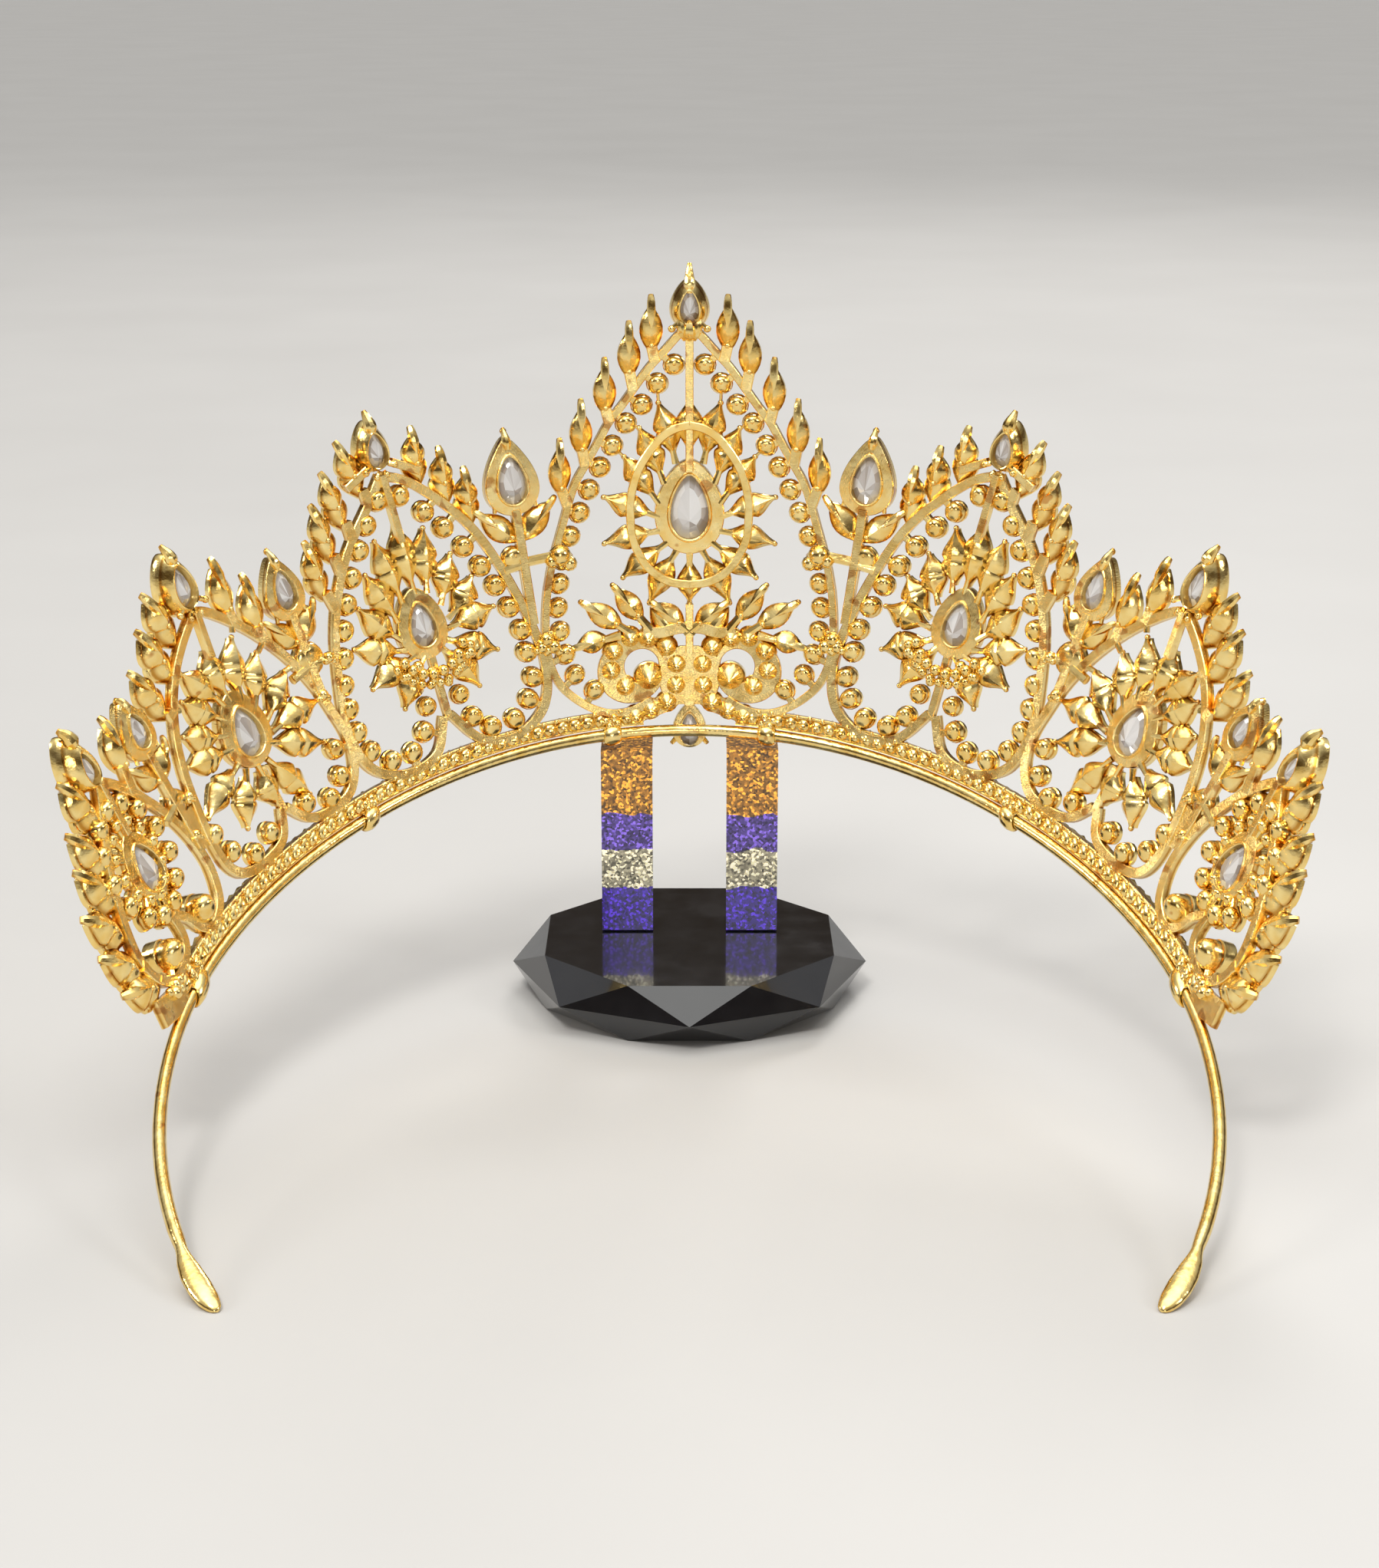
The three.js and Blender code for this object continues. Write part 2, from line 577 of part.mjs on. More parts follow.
// The headband: one bent wire whose ends are flattened into small paddles.
function headband() {
  const end = rad(HEADBAND.tipAngle);
  const wireEnd = end - PADDLE.length / 2 / HEADBAND.radius;
  const points = [];
  for (let i = 0; i <= 40; i++) {
    const p = planPoint(wireEnd * (i / 20 - 1));
    points.push(bandPoint(p.x, p.y));
  }
  const route = new THREE.CatmullRomCurve3(points);
  const section = new THREE.Shape();
  for (let k = 0; k < 8; k++) {
    const turn = rad(45 * k);
    const [a, b] = [HEADBAND.wire / 2 * Math.cos(turn), HEADBAND.wire / 2 * Math.sin(turn)];
    if (k === 0) {
      section.moveTo(a, b);
    } else {
      section.lineTo(a, b);
    }
  }
  section.closePath();
  const wire = new THREE.ExtrudeGeometry(section, { steps: 60, extrudePath: route });
  let solid = manifoldOf(wire);
  for (const hand of [-1, 1]) {
    const tip = planPoint(hand * end);
    const inward = planPoint(hand * (end - 0.05)).sub(tip).normalize();
    const middle = tip.clone().addScaledVector(inward, PADDLE.length / 2);
    const paddle = new THREE.SphereGeometry(1, 8, 6);
    paddle.scale(PADDLE.width / 2, PADDLE.length / 2, PADDLE.thickness / 2);
    paddle.rotateZ(Math.atan2(inward.y, inward.x) - Math.PI / 2);
    paddle.rotateX(rad(HEADBAND.tilt));
    const at = bandPoint(middle.x, middle.y);
    paddle.translate(at.x, at.y, at.z);
    solid = solid.add(manifoldOf(paddle));
  }
  return solid;
}

add('headband_wire', geometryOf(headband()), GOLD);

// The stand: an octagonal base cut in triangular facets, and two plain posts.
function standBase() {
  const points = [];
  const ring = (radius, z, turn) => {
    for (let k = 0; k < 8; k++) {
      const angle = rad(45 * k + turn);
      points.push([radius * Math.cos(angle), radius * Math.sin(angle), z]);
    }
  };
  ring(STAND.radius, 0, 22.5);
  ring(STAND.girdle, STAND.height / 2, 45);
  ring(STAND.radius, STAND.height, 22.5);
  const faces = [];
  for (let k = 0; k < 8; k++) {
    const k2 = (k + 1) % 8;
    faces.push([k, k2, 8 + k], [k2, 8 + k2, 8 + k]);
    faces.push([16 + k, 8 + k, 16 + k2], [16 + k2, 8 + k, 8 + k2]);
  }
  for (let k = 1; k < 7; k++) {
    faces.push([0, k + 1, k], [16, 16 + k, 16 + k + 1]);
  }
  return solidOf((x, y, z) => new THREE.Vector3(x, y, z), points, faces);
}

add('stand_base', geometryOf(standBase()), BLACK);
const tabUnderside = bellPoint(9.8, 2, 0, 0).z - HEADBAND.wire / 2 - GAP - TAB_THICKNESS;
const postHeight = tabUnderside - GAP - STAND.height;
for (const [hand, sign] of [['left', -1], ['right', 1]]) {
  const post = add(`stand_post_${hand}`,
    new THREE.BoxGeometry(STAND.postWidth, STAND.postDepth, postHeight - GAP), GLITTER);
  post.position.set(sign * STAND.postCentre, STAND.postFront + STAND.postDepth / 2,
    STAND.height + GAP + (postHeight - GAP) / 2);
}

// The origin: on the ground, under the middle of the whole.
const box = new THREE.Box3().setFromObject(crown);
crown.position.set(-(box.min.x + box.max.x) / 2, -(box.min.y + box.max.y) / 2, -box.min.z);

export default crown;
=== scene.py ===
import math

import bpy
import numpy as np
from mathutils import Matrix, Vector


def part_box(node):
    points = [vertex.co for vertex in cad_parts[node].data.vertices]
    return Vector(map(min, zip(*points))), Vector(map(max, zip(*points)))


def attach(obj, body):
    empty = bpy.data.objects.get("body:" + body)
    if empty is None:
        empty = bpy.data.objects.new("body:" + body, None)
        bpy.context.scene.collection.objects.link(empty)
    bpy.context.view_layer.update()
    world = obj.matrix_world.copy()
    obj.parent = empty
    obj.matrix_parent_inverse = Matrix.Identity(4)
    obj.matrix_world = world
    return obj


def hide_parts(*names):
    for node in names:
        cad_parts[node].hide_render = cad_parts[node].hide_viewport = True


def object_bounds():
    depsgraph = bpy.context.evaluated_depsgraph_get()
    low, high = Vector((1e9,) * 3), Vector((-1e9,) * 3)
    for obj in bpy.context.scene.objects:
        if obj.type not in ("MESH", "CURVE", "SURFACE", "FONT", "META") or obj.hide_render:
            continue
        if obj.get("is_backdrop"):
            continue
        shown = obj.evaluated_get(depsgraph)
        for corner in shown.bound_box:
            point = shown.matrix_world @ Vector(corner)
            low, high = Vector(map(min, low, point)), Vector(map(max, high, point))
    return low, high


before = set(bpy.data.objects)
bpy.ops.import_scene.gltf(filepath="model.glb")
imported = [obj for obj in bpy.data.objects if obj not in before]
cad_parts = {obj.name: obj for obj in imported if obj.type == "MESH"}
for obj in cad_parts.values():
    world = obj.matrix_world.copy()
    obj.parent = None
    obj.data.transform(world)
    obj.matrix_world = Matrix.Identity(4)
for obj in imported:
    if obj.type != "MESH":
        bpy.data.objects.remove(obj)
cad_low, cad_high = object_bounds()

# The camera looks at the wearer's side of the crown from a little above the table, as if one bent
# down to it. It stands square to the crown, before the stand's middle.
base_low, base_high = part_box("stand_base")
stand_y = (base_low.y + base_high.y) / 2
camera_back, camera_up, camera_dip = 0.4405, 0.1709, 17
scene = bpy.context.scene
camera = bpy.data.objects.new("camera", bpy.data.cameras.new("camera"))
camera.data.lens = 63.4
camera.location = (0, stand_y - camera_back, base_low.z + camera_up)
camera.rotation_euler = (math.radians(90 - camera_dip), 0, 0)
scene.collection.objects.link(camera)
scene.camera = camera
scene.view_settings.view_transform = "Standard"


# The table is a plain pale top of matt laminate, wide enough to have no edge in view. Soft lamps
# of white cloth stand round it: above the wearer's side, in front, left, right and behind.
def feed(tree, node, **inputs):
    """Sets a node's inputs, or links those that are given as another node's output. An underscore
    in a name stands for a space."""
    for name, value in inputs.items():
        socket = node.inputs[name.replace("_", " ")]
        if isinstance(value, bpy.types.NodeSocket):
            tree.links.new(value, socket)
        else:
            socket.default_value = value


def add(tree, kind, **inputs):
    """Adds a shader node of that kind and feeds its inputs."""
    node = tree.nodes.new("ShaderNode" + kind)
    feed(tree, node, **inputs)
    return node


def noise(tree, place, scale, detail):
    """A noise of that many cells to the metre and levels of detail, read at a place."""
    return add(tree, "TexNoise", Vector=place, Scale=scale, Detail=detail).outputs["Fac"]


def spread(tree, value, low, high, to_low=0, to_high=1):
    """Carries a value evenly from the range of low to high to another range."""
    return add(tree, "MapRange", Value=value, From_Min=low, From_Max=high, To_Min=to_low,
               To_Max=to_high).outputs["Result"]


def ramp(tree, source, *stops):
    """Turns a value to colour: each stop is a position and its red, green and blue."""
    node = add(tree, "ValToRGB", Fac=source)
    elements = node.color_ramp.elements
    for end, (position, colour) in ((elements[0], stops[0]), (elements[1], stops[-1])):
        end.position, end.color = position, (*colour, 1)
    for position, colour in stops[1:-1]:
        elements.new(position).color = (*colour, 1)
    return node.outputs["Color"]


def new_material(name):
    """A node material: returns it, its tree, its shader and the place on the object."""
    material = bpy.data.materials.new(name)
    material.use_nodes = True
    tree = material.node_tree
    return material, tree, tree.nodes["Principled BSDF"], add(tree, "TexCoord").outputs["Object"]


table_material, tree, shader, place = new_material("pale_table")
table_tone = ramp(tree, noise(tree, place, scale=9, detail=5), (0, (0.47, 0.46, 0.445)),
                  (1, (0.53, 0.52, 0.505)))
feed(tree, shader, Base_Color=table_tone, Roughness=0.55)

table_mesh = bpy.data.meshes.new("table")
reach, level = 20.0, base_low.z - 0.00003
table_mesh.from_pydata([(-reach, -reach, level), (reach, -reach, level),
                        (reach, reach, level), (-reach, reach, level)], [], [(0, 1, 2, 3)])
table_mesh.materials.append(table_material)
table = bpy.data.objects.new("table", table_mesh)
scene.collection.objects.link(table)
table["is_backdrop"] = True

crown_middle = np.array((0, stand_y - 0.04, 0.07))
warm, plain, cool = (1.0, 0.98, 0.95), (1.0, 0.98, 0.96), (0.96, 0.98, 1.0)
for name, place, size, power, tint in (
    ("lamp_above", (-0.3, -0.7, 1.2), 0.3, 8, warm),
    ("lamp_front", (0.1, -1.1, 0.35), 0.3, 1.4, warm),
    ("lamp_left", (-1.1, -0.1, 0.6), 0.3, 3.2, warm),
    ("lamp_right", (1.0, -0.35, 0.7), 0.25, 2.6, cool),
    ("lamp_behind", (0.3, 1.2, 0.9), 0.4, 5, plain),
):
    light = bpy.data.lights.new(name, "AREA")
    light.size, light.energy, light.color = size, power, tint
    lamp = bpy.data.objects.new(name, light)
    lamp.location = place
    x, y, z = crown_middle - place
    lamp.rotation_euler = (math.acos(-z / math.hypot(x, y, z)), 0, math.atan2(x, -y) + math.pi)
    scene.collection.objects.link(lamp)

# The room is pale low down, where the table ends, dim at eye level and bright overhead.
world = bpy.data.worlds.new("room")
world.use_nodes = True
tree = world.node_tree
heading = add(tree, "SeparateXYZ", Vector=add(tree, "TexCoord").outputs["Generated"])
sky = ramp(tree, heading.outputs["Z"], (0.09, (0.68, 0.67, 0.65)), (0.15, (0.1, 0.07, 0.045)),
           (0.34, (0.1, 0.075, 0.05)), (0.66, (0.72, 0.72, 0.73)), (0.82, (1.0, 1.0, 1.02)),
           (0.92, (4, 4, 3.9)))
feed(tree, tree.nodes["Background"], Color=sky, Strength=0.68)
scene.world = world


# The rail is the strip that every casting stands on: a row of small round cups between two edges,
# bent to the head. Like the whole crown it is cast brass, tumbled bright and gold-plated, with a
# skin that is never quite even. Strips and plates keep the file marks that run across them.
def multiply(tree, one, other):
    """One colour times another."""
    node = tree.nodes.new("ShaderNodeMix")
    node.data_type, node.blend_type = "RGBA", "MULTIPLY"
    feed(tree, node, Factor=1, A=one, B=other)
    return node.outputs["Result"]


def gold(name, tones, roughness, stained, bumps):
    """Polished gold, whose tone and roughness wander between two values. Bumps are (scale,
    stretch, depth). Its colour is darkened with painted shade in the groove between a cup's back
    and its rim, by the depth in "lie", and it is tarnished in patches that the torch left, where a
    slow noise passes "stained"."""
    material, tree, shader, place = new_material(name)
    lie = add(tree, "Attribute")
    lie.attribute_name = "lie"
    lie = lie.outputs["Vector"]
    wander = noise(tree, place, scale=420, detail=3)
    colour = ramp(tree, wander, (0.32, tones[0]), (0.68, tones[1]))
    level = spread(tree, add(tree, "SeparateXYZ", Vector=lie).outputs["Z"], -1, 1)
    clean, painted_shade, scorch = (1, 1, 1), (0.6, 0.41, 0.2), (0.68, 0.5, 0.4)
    # Painted shade: the tone darkens by depth in the groove behind each rim and is bright again on
    # the rim.
    groove = ramp(tree, level, (0.34, clean), (0.53, painted_shade), (0.63, painted_shade), (0.71, clean))
    stain = ramp(tree, noise(tree, place, scale=370, detail=1), (stained, clean),
                 (stained + 0.05, scorch))
    colour = multiply(tree, multiply(tree, colour, groove), stain)
    feed(tree, shader, Metallic=1, Base_Color=colour,
         Roughness=spread(tree, wander, 0.3, 0.7, *roughness))
    for scale, stretch, depth in bumps:
        source = place
        if stretch:
            source = add(tree, "Mapping", Vector=lie, Scale=(stretch, 1, 1)).outputs["Vector"]
        bump = add(tree, "Bump", Height=noise(tree, source, scale, detail=2), Distance=depth,
                   Strength=1)
        under = shader.inputs["Normal"].links
        if under:
            feed(tree, bump, Normal=under[0].from_socket)
        feed(tree, shader, Normal=bump.outputs["Normal"])
    return material


polished_gold = gold("polished_gold", ((0.9, 0.6, 0.17), (0.98, 0.78, 0.34)), (0.12, 0.25), 0.7,
                     [(520, 0, 0.00006), (1800, 0, 0.00003)])
filed_gold = gold("filed_gold", ((0.92, 0.63, 0.2), (0.99, 0.8, 0.37)), (0.16, 0.3), 0.62,
                  [(480, 0, 0.00007), (1.4, 7, 0.00005)])


def cut_glass(name, dark, middle, transmission, foil):
    """Cut glass, whose colour is painted light and shade: a slow noise of each facet's direction
    makes each facet a painted highlight or painted shade. It lets a share of light through, or
    mirrors a share where there is foil behind it."""
    material, tree, shader, _ = new_material(name)
    facing = add(tree, "NewGeometry").outputs["True Normal"]
    # Painted highlights and painted shade: each facet's colour is set light or dark by its
    # direction.
    painted_facet_light = ramp(tree, noise(tree, facing, scale=4.2, detail=0), (0.36, dark), (0.49, middle),
                 (0.62, (1, 1, 1)))
    feed(tree, shader, Base_Color=painted_facet_light, Transmission_Weight=transmission, Metallic=foil,
         Roughness=0.04, IOR=1.58)
    return material


# The big stones are clear, a little milky from the cement. The small crystals are foiled behind.
clear_crystal = cut_glass("clear_crystal", (0.52, 0.46, 0.41), (0.82, 0.8, 0.79), 0.5, 0)
foiled_crystal = cut_glass("foiled_crystal", (0.5, 0.5, 0.53), (0.86, 0.86, 0.88), 0, 0.6)
POLISHED, FILED, CRYSTAL, STONE = 0, 1, 2, 3

# The crown's surface flares outward like a bell and curls upright again. Every piece lies on it,
# by its distance along the band from the front, which is BAND_RADIUS times the angle there, in mm.
BAND_RADIUS = 75


def plan(angle):
    """The headband seen square on: a circle with a gentle swing, whose arms open past the ears.
    Returns points and outward directions, across and along, in mm from the wire's ends."""
    mean, swing, waves, splay, centre = 74.4, 1.7, 3.1, 0.0035, 53.2
    behind = np.maximum(np.abs(np.degrees(angle)) - 90, 0)
    radius = mean + swing * np.cos(waves * angle) + splay * behind ** 2
    slope = -swing * waves * np.sin(waves * angle)
    slope = slope + 2 * splay * behind * np.sign(angle) * 180 / math.pi
    sin, cos = np.sin(angle), np.cos(angle)
    point = np.stack([radius * sin, centre + radius * cos])
    outward = np.stack([radius * sin - slope * cos, radius * cos + slope * sin])
    return point, outward / np.linalg.norm(outward, axis=0)


def from_band(across, along, off):
    """From the headband's plane, which rises 20 degrees to the front, to the model, in metres."""
    tilt = math.radians(20)
    ends_y, ends_z = stand_y * 1000 - 117.5, base_low.z * 1000 + 0.2
    return np.stack([across,
                     ends_y + along * math.cos(tilt) - off * math.sin(tilt),
                     ends_z + along * math.sin(tilt) + off * math.cos(tilt)], -1) / 1000


def on_bell(azimuth, points):
    """Places drawn points on the crown: x along the rail from a panel's middle, y up the profile
    and w outward through the metal. The profile starts 30 degrees out and curls upright."""
    flare, curl = math.radians(30), 0.0018
    x, y, w = points.T
    lean = flare - 2 * curl * y
    out = (np.cos(lean) - math.cos(flare)) / (2 * curl)
    up = (math.sin(flare) - np.sin(lean)) / (2 * curl)
    foot, outward = plan(math.radians(azimuth) + x / (BAND_RADIUS + out))
    foot = foot + outward * (out + w * np.cos(lean))
    return from_band(foot[0], foot[1], up - w * np.sin(lean))


def skin(rings, finish=POLISHED, lie=None, hollow=False):
    """The faces over an array of rings, (rings, corners, 3). Quads join each ring to the next. A
    fan shuts either end, or, if it is hollow like a washer, the last ring meets the first."""
    count, corners = rings.shape[:2]
    lie = rings if lie is None else lie
    k = np.arange(corners)
    row, column = np.meshgrid(np.arange(count if hollow else count - 1), k, indexing="ij")
    here = row * corners
    there = (row + 1) % count * corners
    after = (column + 1) % corners
    quads = np.stack([here + column, here + after, there + after, there + column], -1)
    quads = quads.reshape(-1, 4)
    if hollow:
        return rings.reshape(-1, 3), quads, np.zeros((0, 3), int), lie.reshape(-1, 3), finish
    ends = rings[[0, -1]].mean(1)
    k2 = (k + 1) % corners
    top = (count - 1) * corners
    first = np.stack([k2, k, np.full(corners, count * corners)], -1)
    last = np.stack([top + k, top + k2, np.full(corners, count * corners + 1)], -1)
    return (np.concatenate([rings.reshape(-1, 3), ends]), quads, np.concatenate([first, last]),
            np.concatenate([lie.reshape(-1, 3), lie[[0, -1]].mean(1)]), finish)


def join(name, shapes, azimuth, mirrored, nodes, sharp):
    """Joins drawn shapes into one piece on the bell. Each closed shape is turned to face outward
    by the sign of its volume, because the crown's right-hand side mirrors the left-hand one."""
    points, faces, lies, finishes, start = [], [], [], [], 0
    for shape, quads, tris, lie, finish in shapes:
        placed = on_bell(azimuth, shape)
        if mirrored:
            placed[:, 0] *= -1
        wedges = np.concatenate([tris, quads[:, :3], quads[:, [0, 2, 3]]])
        a, b, c = (placed[wedges[:, i]] - placed[0] for i in range(3))
        if np.einsum("ij,ij->", a, np.cross(b, c)) < 0:
            quads, tris = quads[:, ::-1], tris[:, ::-1]
        points.append(placed)
        lies.append(lie)
        faces += (quads + start).tolist() + (tris + start).tolist()
        finishes.append(np.full(len(quads) + len(tris), finish))
        start += len(placed)
    mesh = bpy.data.meshes.new(name)
    mesh.from_pydata(np.concatenate(points), [], faces)
    drawn = mesh.attributes.new("lie", "FLOAT_VECTOR", "POINT")
    drawn.data.foreach_set("vector", np.concatenate(lies).astype(np.float32).ravel())
    for material in (polished_gold, filed_gold, foiled_crystal, clear_crystal):
        mesh.materials.append(material)
    mesh.polygons.foreach_set("material_index", np.concatenate(finishes).astype(np.int32))
    mesh.shade_smooth()
    mesh.set_sharp_from_angle(angle=math.radians(sharp))
    piece = bpy.data.objects.new(name, mesh)
    scene.collection.objects.link(piece)
    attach(piece, "root")
    if nodes:
        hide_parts(*nodes)


def cast(name, shapes, azimuth=0.0, mirrored=False):
    """Makes one piece of the shapes' metal, in place of the CAD's, and one of their crystals."""
    metal = [shape for shape in shapes if shape[4] != CRYSTAL]
    crystals = [shape for shape in shapes if shape[4] == CRYSTAL]
    join(name, metal, azimuth, mirrored, ["crown_metal"], sharp=32)
    if crystals:
        join(f"{name}_crystals", crystals, azimuth, mirrored, [], sharp=4)


def smooth(points, step=0.7):
    """A Catmull-Rom curve through a few points, in even steps of about that many mm."""
    points = np.array(points, float)
    padded = np.concatenate([2 * points[:1] - points[1:2], points,
                             2 * points[-1:] - points[-2:-1]])
    t = np.linspace(0, 1, 12, endpoint=False)[:, None]
    runs = []
    for a, b, c, d in zip(padded, padded[1:], padded[2:], padded[3:]):
        runs.append(0.5 * (2 * b + (c - a) * t + (2 * a - 5 * b + 4 * c - d) * t ** 2
                           + (3 * b - a - 3 * c + d) * t ** 3))
    dense = np.concatenate(runs + [points[-1:]])
    length = np.concatenate([[0], np.cumsum(np.linalg.norm(np.diff(dense, axis=0), axis=1))])
    even = np.linspace(0, length[-1], max(int(length[-1] / step), 2) + 1)
    return np.stack([np.interp(even, length, dense[:, i]) for i in range(points.shape[1])], -1)


def headings(route):
    """The directions along a route, one unit long."""
    heading = np.gradient(np.asarray(route, float), axis=0)
    return heading / np.linalg.norm(heading, axis=1)[:, None]


def strip(route, width=1.25, back=-0.8, front=0.8, finish=FILED):
    """A flat strip: a rectangle with its four corners cut, carried along a route, square to it."""
    route, heading = np.asarray(route, float), headings(route)
    side = np.stack([-heading[:, 1], heading[:, 0]], -1)
    half = np.broadcast_to(np.asarray(width) / 2, len(route))
    bevel = 0.13
    across = np.array([-1, -1, -1, 1, 1, 1, 1, -1])
    cut = np.array([0, 0, 1, 1, 0, 0, 1, 1]) * bevel
    level = np.array([front - bevel, back + bevel, back, back,
                      back + bevel, front - bevel, front, front])
    offset = across * (half[:, None] - cut)
    rings = np.empty((len(route), 8, 3))
    rings[..., :2] = route[:, None] + side[:, None] * offset[..., None]
    rings[..., 2] = level
    run = np.concatenate([[0], np.cumsum(np.linalg.norm(np.diff(route, axis=0), axis=1))])
    lie = np.stack([np.broadcast_to(run[:, None], offset.shape), offset, rings[..., 2]], -1)
    return skin(rings, finish, lie)


def crystal_on(outline, level):
    """A small cut crystal: its girdle is a drawn outline, and a flat top stands over it."""
    middle = outline.mean(0)
    rings = np.empty((3, len(outline), 3))
    for ring, share, height in zip(rings, (0.9, 1.0, 0.4), (-0.4, 0.0, 0.5)):
        ring[:, :2] = middle + share * (outline - middle)
        ring[:, 2] = level + height
    return skin(rings, CRYSTAL)


def around(count):
    """Even steps of angle over a full turn."""
    return 2 * np.pi * np.arange(count) / count


def dome(x, y, radius, depth, nub, rim=1.1, lobes=0.0, cone=0.0, rise=0.3, corners=16):
    """A round cup with its crystal: a dome with a casting nub at its top, a groove, and the rim of
    the open side, a profile of radius against depth turned about its axis. With cone 1 the dome is
    a cone. Its top leans up by rise times the radius, as a square of depth."""
    profile = [(nub * 0.4, -depth - nub * 0.75), (nub * 0.9, -depth - nub * 0.4),
               (nub, -depth + 0.05)]
    for a in np.radians([75, 60, 45, 30, 15, 0]):
        straight = max(1 - math.sin(a), 0.12)
        bulge = math.cos(a) * (1 - cone) + cone * straight
        profile.append((radius * 0.94 * bulge, -depth * math.sin(a)))
    profile += [(radius * 0.87, 0.22), (radius, 0.42), (radius, rim), (radius - 0.28, rim),
                (radius - 0.34, rim - 0.45), (radius * 0.2, rim - 0.55)]
    r, w = np.array(profile).T
    turn = around(corners)
    r = r[:, None] * (1 + lobes * np.cos(5 * turn + 0.6 + x))
    middle = y + rise * radius * (np.clip(-w, 0, None)[:, None] / depth) ** 2
    depths = np.broadcast_to(w[:, None], r.shape)
    rings = np.stack([x + r * np.cos(turn), middle + r * np.sin(turn), depths], -1)
    turn = around(8)
    girdle = np.stack([x + (radius - 0.3) * np.cos(turn), y + (radius - 0.3) * np.sin(turn)], -1)
    return [skin(rings), crystal_on(girdle, rim - 0.02)]


def knob(x, y, w, radius, corners=10):
    """A small ball, where a prong ends or solder has gathered."""
    lift = np.radians([70, 45, 20, -5, -30, -55, -75])
    turn = around(corners)
    rings = np.stack([x + radius * np.multiply.outer(np.cos(lift), np.cos(turn)),
                      y + radius * np.multiply.outer(np.cos(lift), np.sin(turn)),
                      np.broadcast_to((w + radius * np.sin(lift))[:, None], (7, corners))], -1)
    return skin(rings)


rail_start, rail_end, rail_y = 7.6, math.radians(85.5) * BAND_RADIUS, 2.6
first_cup, pitch = 10.4, 2.17
rail = []
for hand in (1, -1):
    rail_x = hand * np.linspace(rail_start, rail_end, 130)
    rail_route = np.stack([rail_x, np.full(130, rail_y)], -1)
    rail += [strip(rail_route, width=2.6, back=-0.3, front=1.2, finish=POLISHED),
             strip(rail_route + (0, 1.15), width=0.5, back=-0.75, front=1.0),
             strip(rail_route - (0, 1.2), width=0.4, back=-0.6, front=1.0)]
    for x in np.arange(first_cup, rail_end - 1, pitch):
        rail += dome(hand * x, rail_y, 1.3, 1.0, nub=0.42, rim=1.75, lobes=0.08, rise=-0.15,
                     corners=12)
        rail += [knob(hand * (x + 1.1), 3.75, -0.62, 0.45, corners=6)]
cast("rail", rail)


# The front panel is a pointed arch of flat strip, filled by the largest medallion, which hangs on
# a spine. Every leaf, petal and round cup is a small open setting. Seen from behind, each has a
# ridge or a nub, then a groove, and then the rim of the open side, where its crystal shows.
def cup(line, half, sink, rim=1.2, keel=0.5, level=0.0):
    """A cup along a centre line, with a half width and a depth at each point. Across, its back is
    part tent and part parabola, by keel, which leaves a ridge. Then come the rim and the floor."""
    heading = headings(line)
    side = np.stack([heading[:, 1], -heading[:, 0]], -1)
    q = np.array([-1, -0.75, -0.45, -0.18, 0, 0.18, 0.45, 0.75, 1])
    back = keel * (1 - np.abs(q)) + (1 - keel) * (1 - q ** 2)
    inner = half - np.minimum(0.3, 0.4 * half)
    edge = [(0.88 * half, 0.2), (half + 0.05, 0.42), (half + 0.05, rim), (inner, rim),
            (0.9 * inner, rim - 0.45)]
    across = [0.95 * half * t for t in q] + [a for a, _ in edge] + [0 * half]
    across += [-a for a, _ in edge[::-1]]
    depth = [-sink * t for t in back] + [b + 0 * half for _, b in edge] + [rim - 0.6 + 0 * half]
    depth += [b + 0 * half for _, b in edge[::-1]]
    across, depth = np.stack(across, 1), np.stack(depth, 1) + level
    flat = line[:, None] + across[..., None] * side[:, None]
    stations = np.linspace(1, len(line) - 2, 4).astype(int)
    reach = (inner * 0.96)[:, None] * side
    girdle = np.concatenate([(line + reach)[stations], (line - reach)[stations[::-1]]])
    return [skin(np.concatenate([flat, depth[..., None]], -1)),
            crystal_on(girdle, level + rim - 0.02)]


def almond(foot, tip, width, depth, blunt=0.95, fullest=0.45, **form):
    """A cup whose half width follows a sine to a power, fullest at that share of its length."""
    s = 0.5 - 0.5 * np.cos(np.pi * np.linspace(0.07, 0.93, 12))
    swell = np.sin(np.pi * s ** (math.log(0.5) / math.log(fullest)))
    line = np.array(foot) + np.multiply.outer(s, np.subtract(tip, foot))
    return cup(line, width / 2 * swell ** blunt, depth * swell ** 0.75, **form)


def kite(foot, tip, width, level):
    """A cup round at its foot, with hollow flanks towards its tip: its half width rises as a root
    as far as the shoulder, and then falls mostly as a cosine and a little straight."""
    depth, shoulder = 1.5, 0.3
    s = np.concatenate([[0.03, 0.1, 0.2], np.linspace(0.3, 0.98, 9)])
    fall = np.clip((s - shoulder) / (1 - shoulder), 0, 1)
    flank = 0.4 + 0.4 * np.cos(np.pi * fall) + 0.2 * (1 - fall)
    swell = np.clip(s / shoulder, 0.02, 1) ** 0.4 * (0.13 + 0.87 * flank)
    line = np.array(foot) + np.multiply.outer(s, np.subtract(tip, foot))
    return cup(line, width / 2 * swell, depth * swell ** 0.6, level=level)


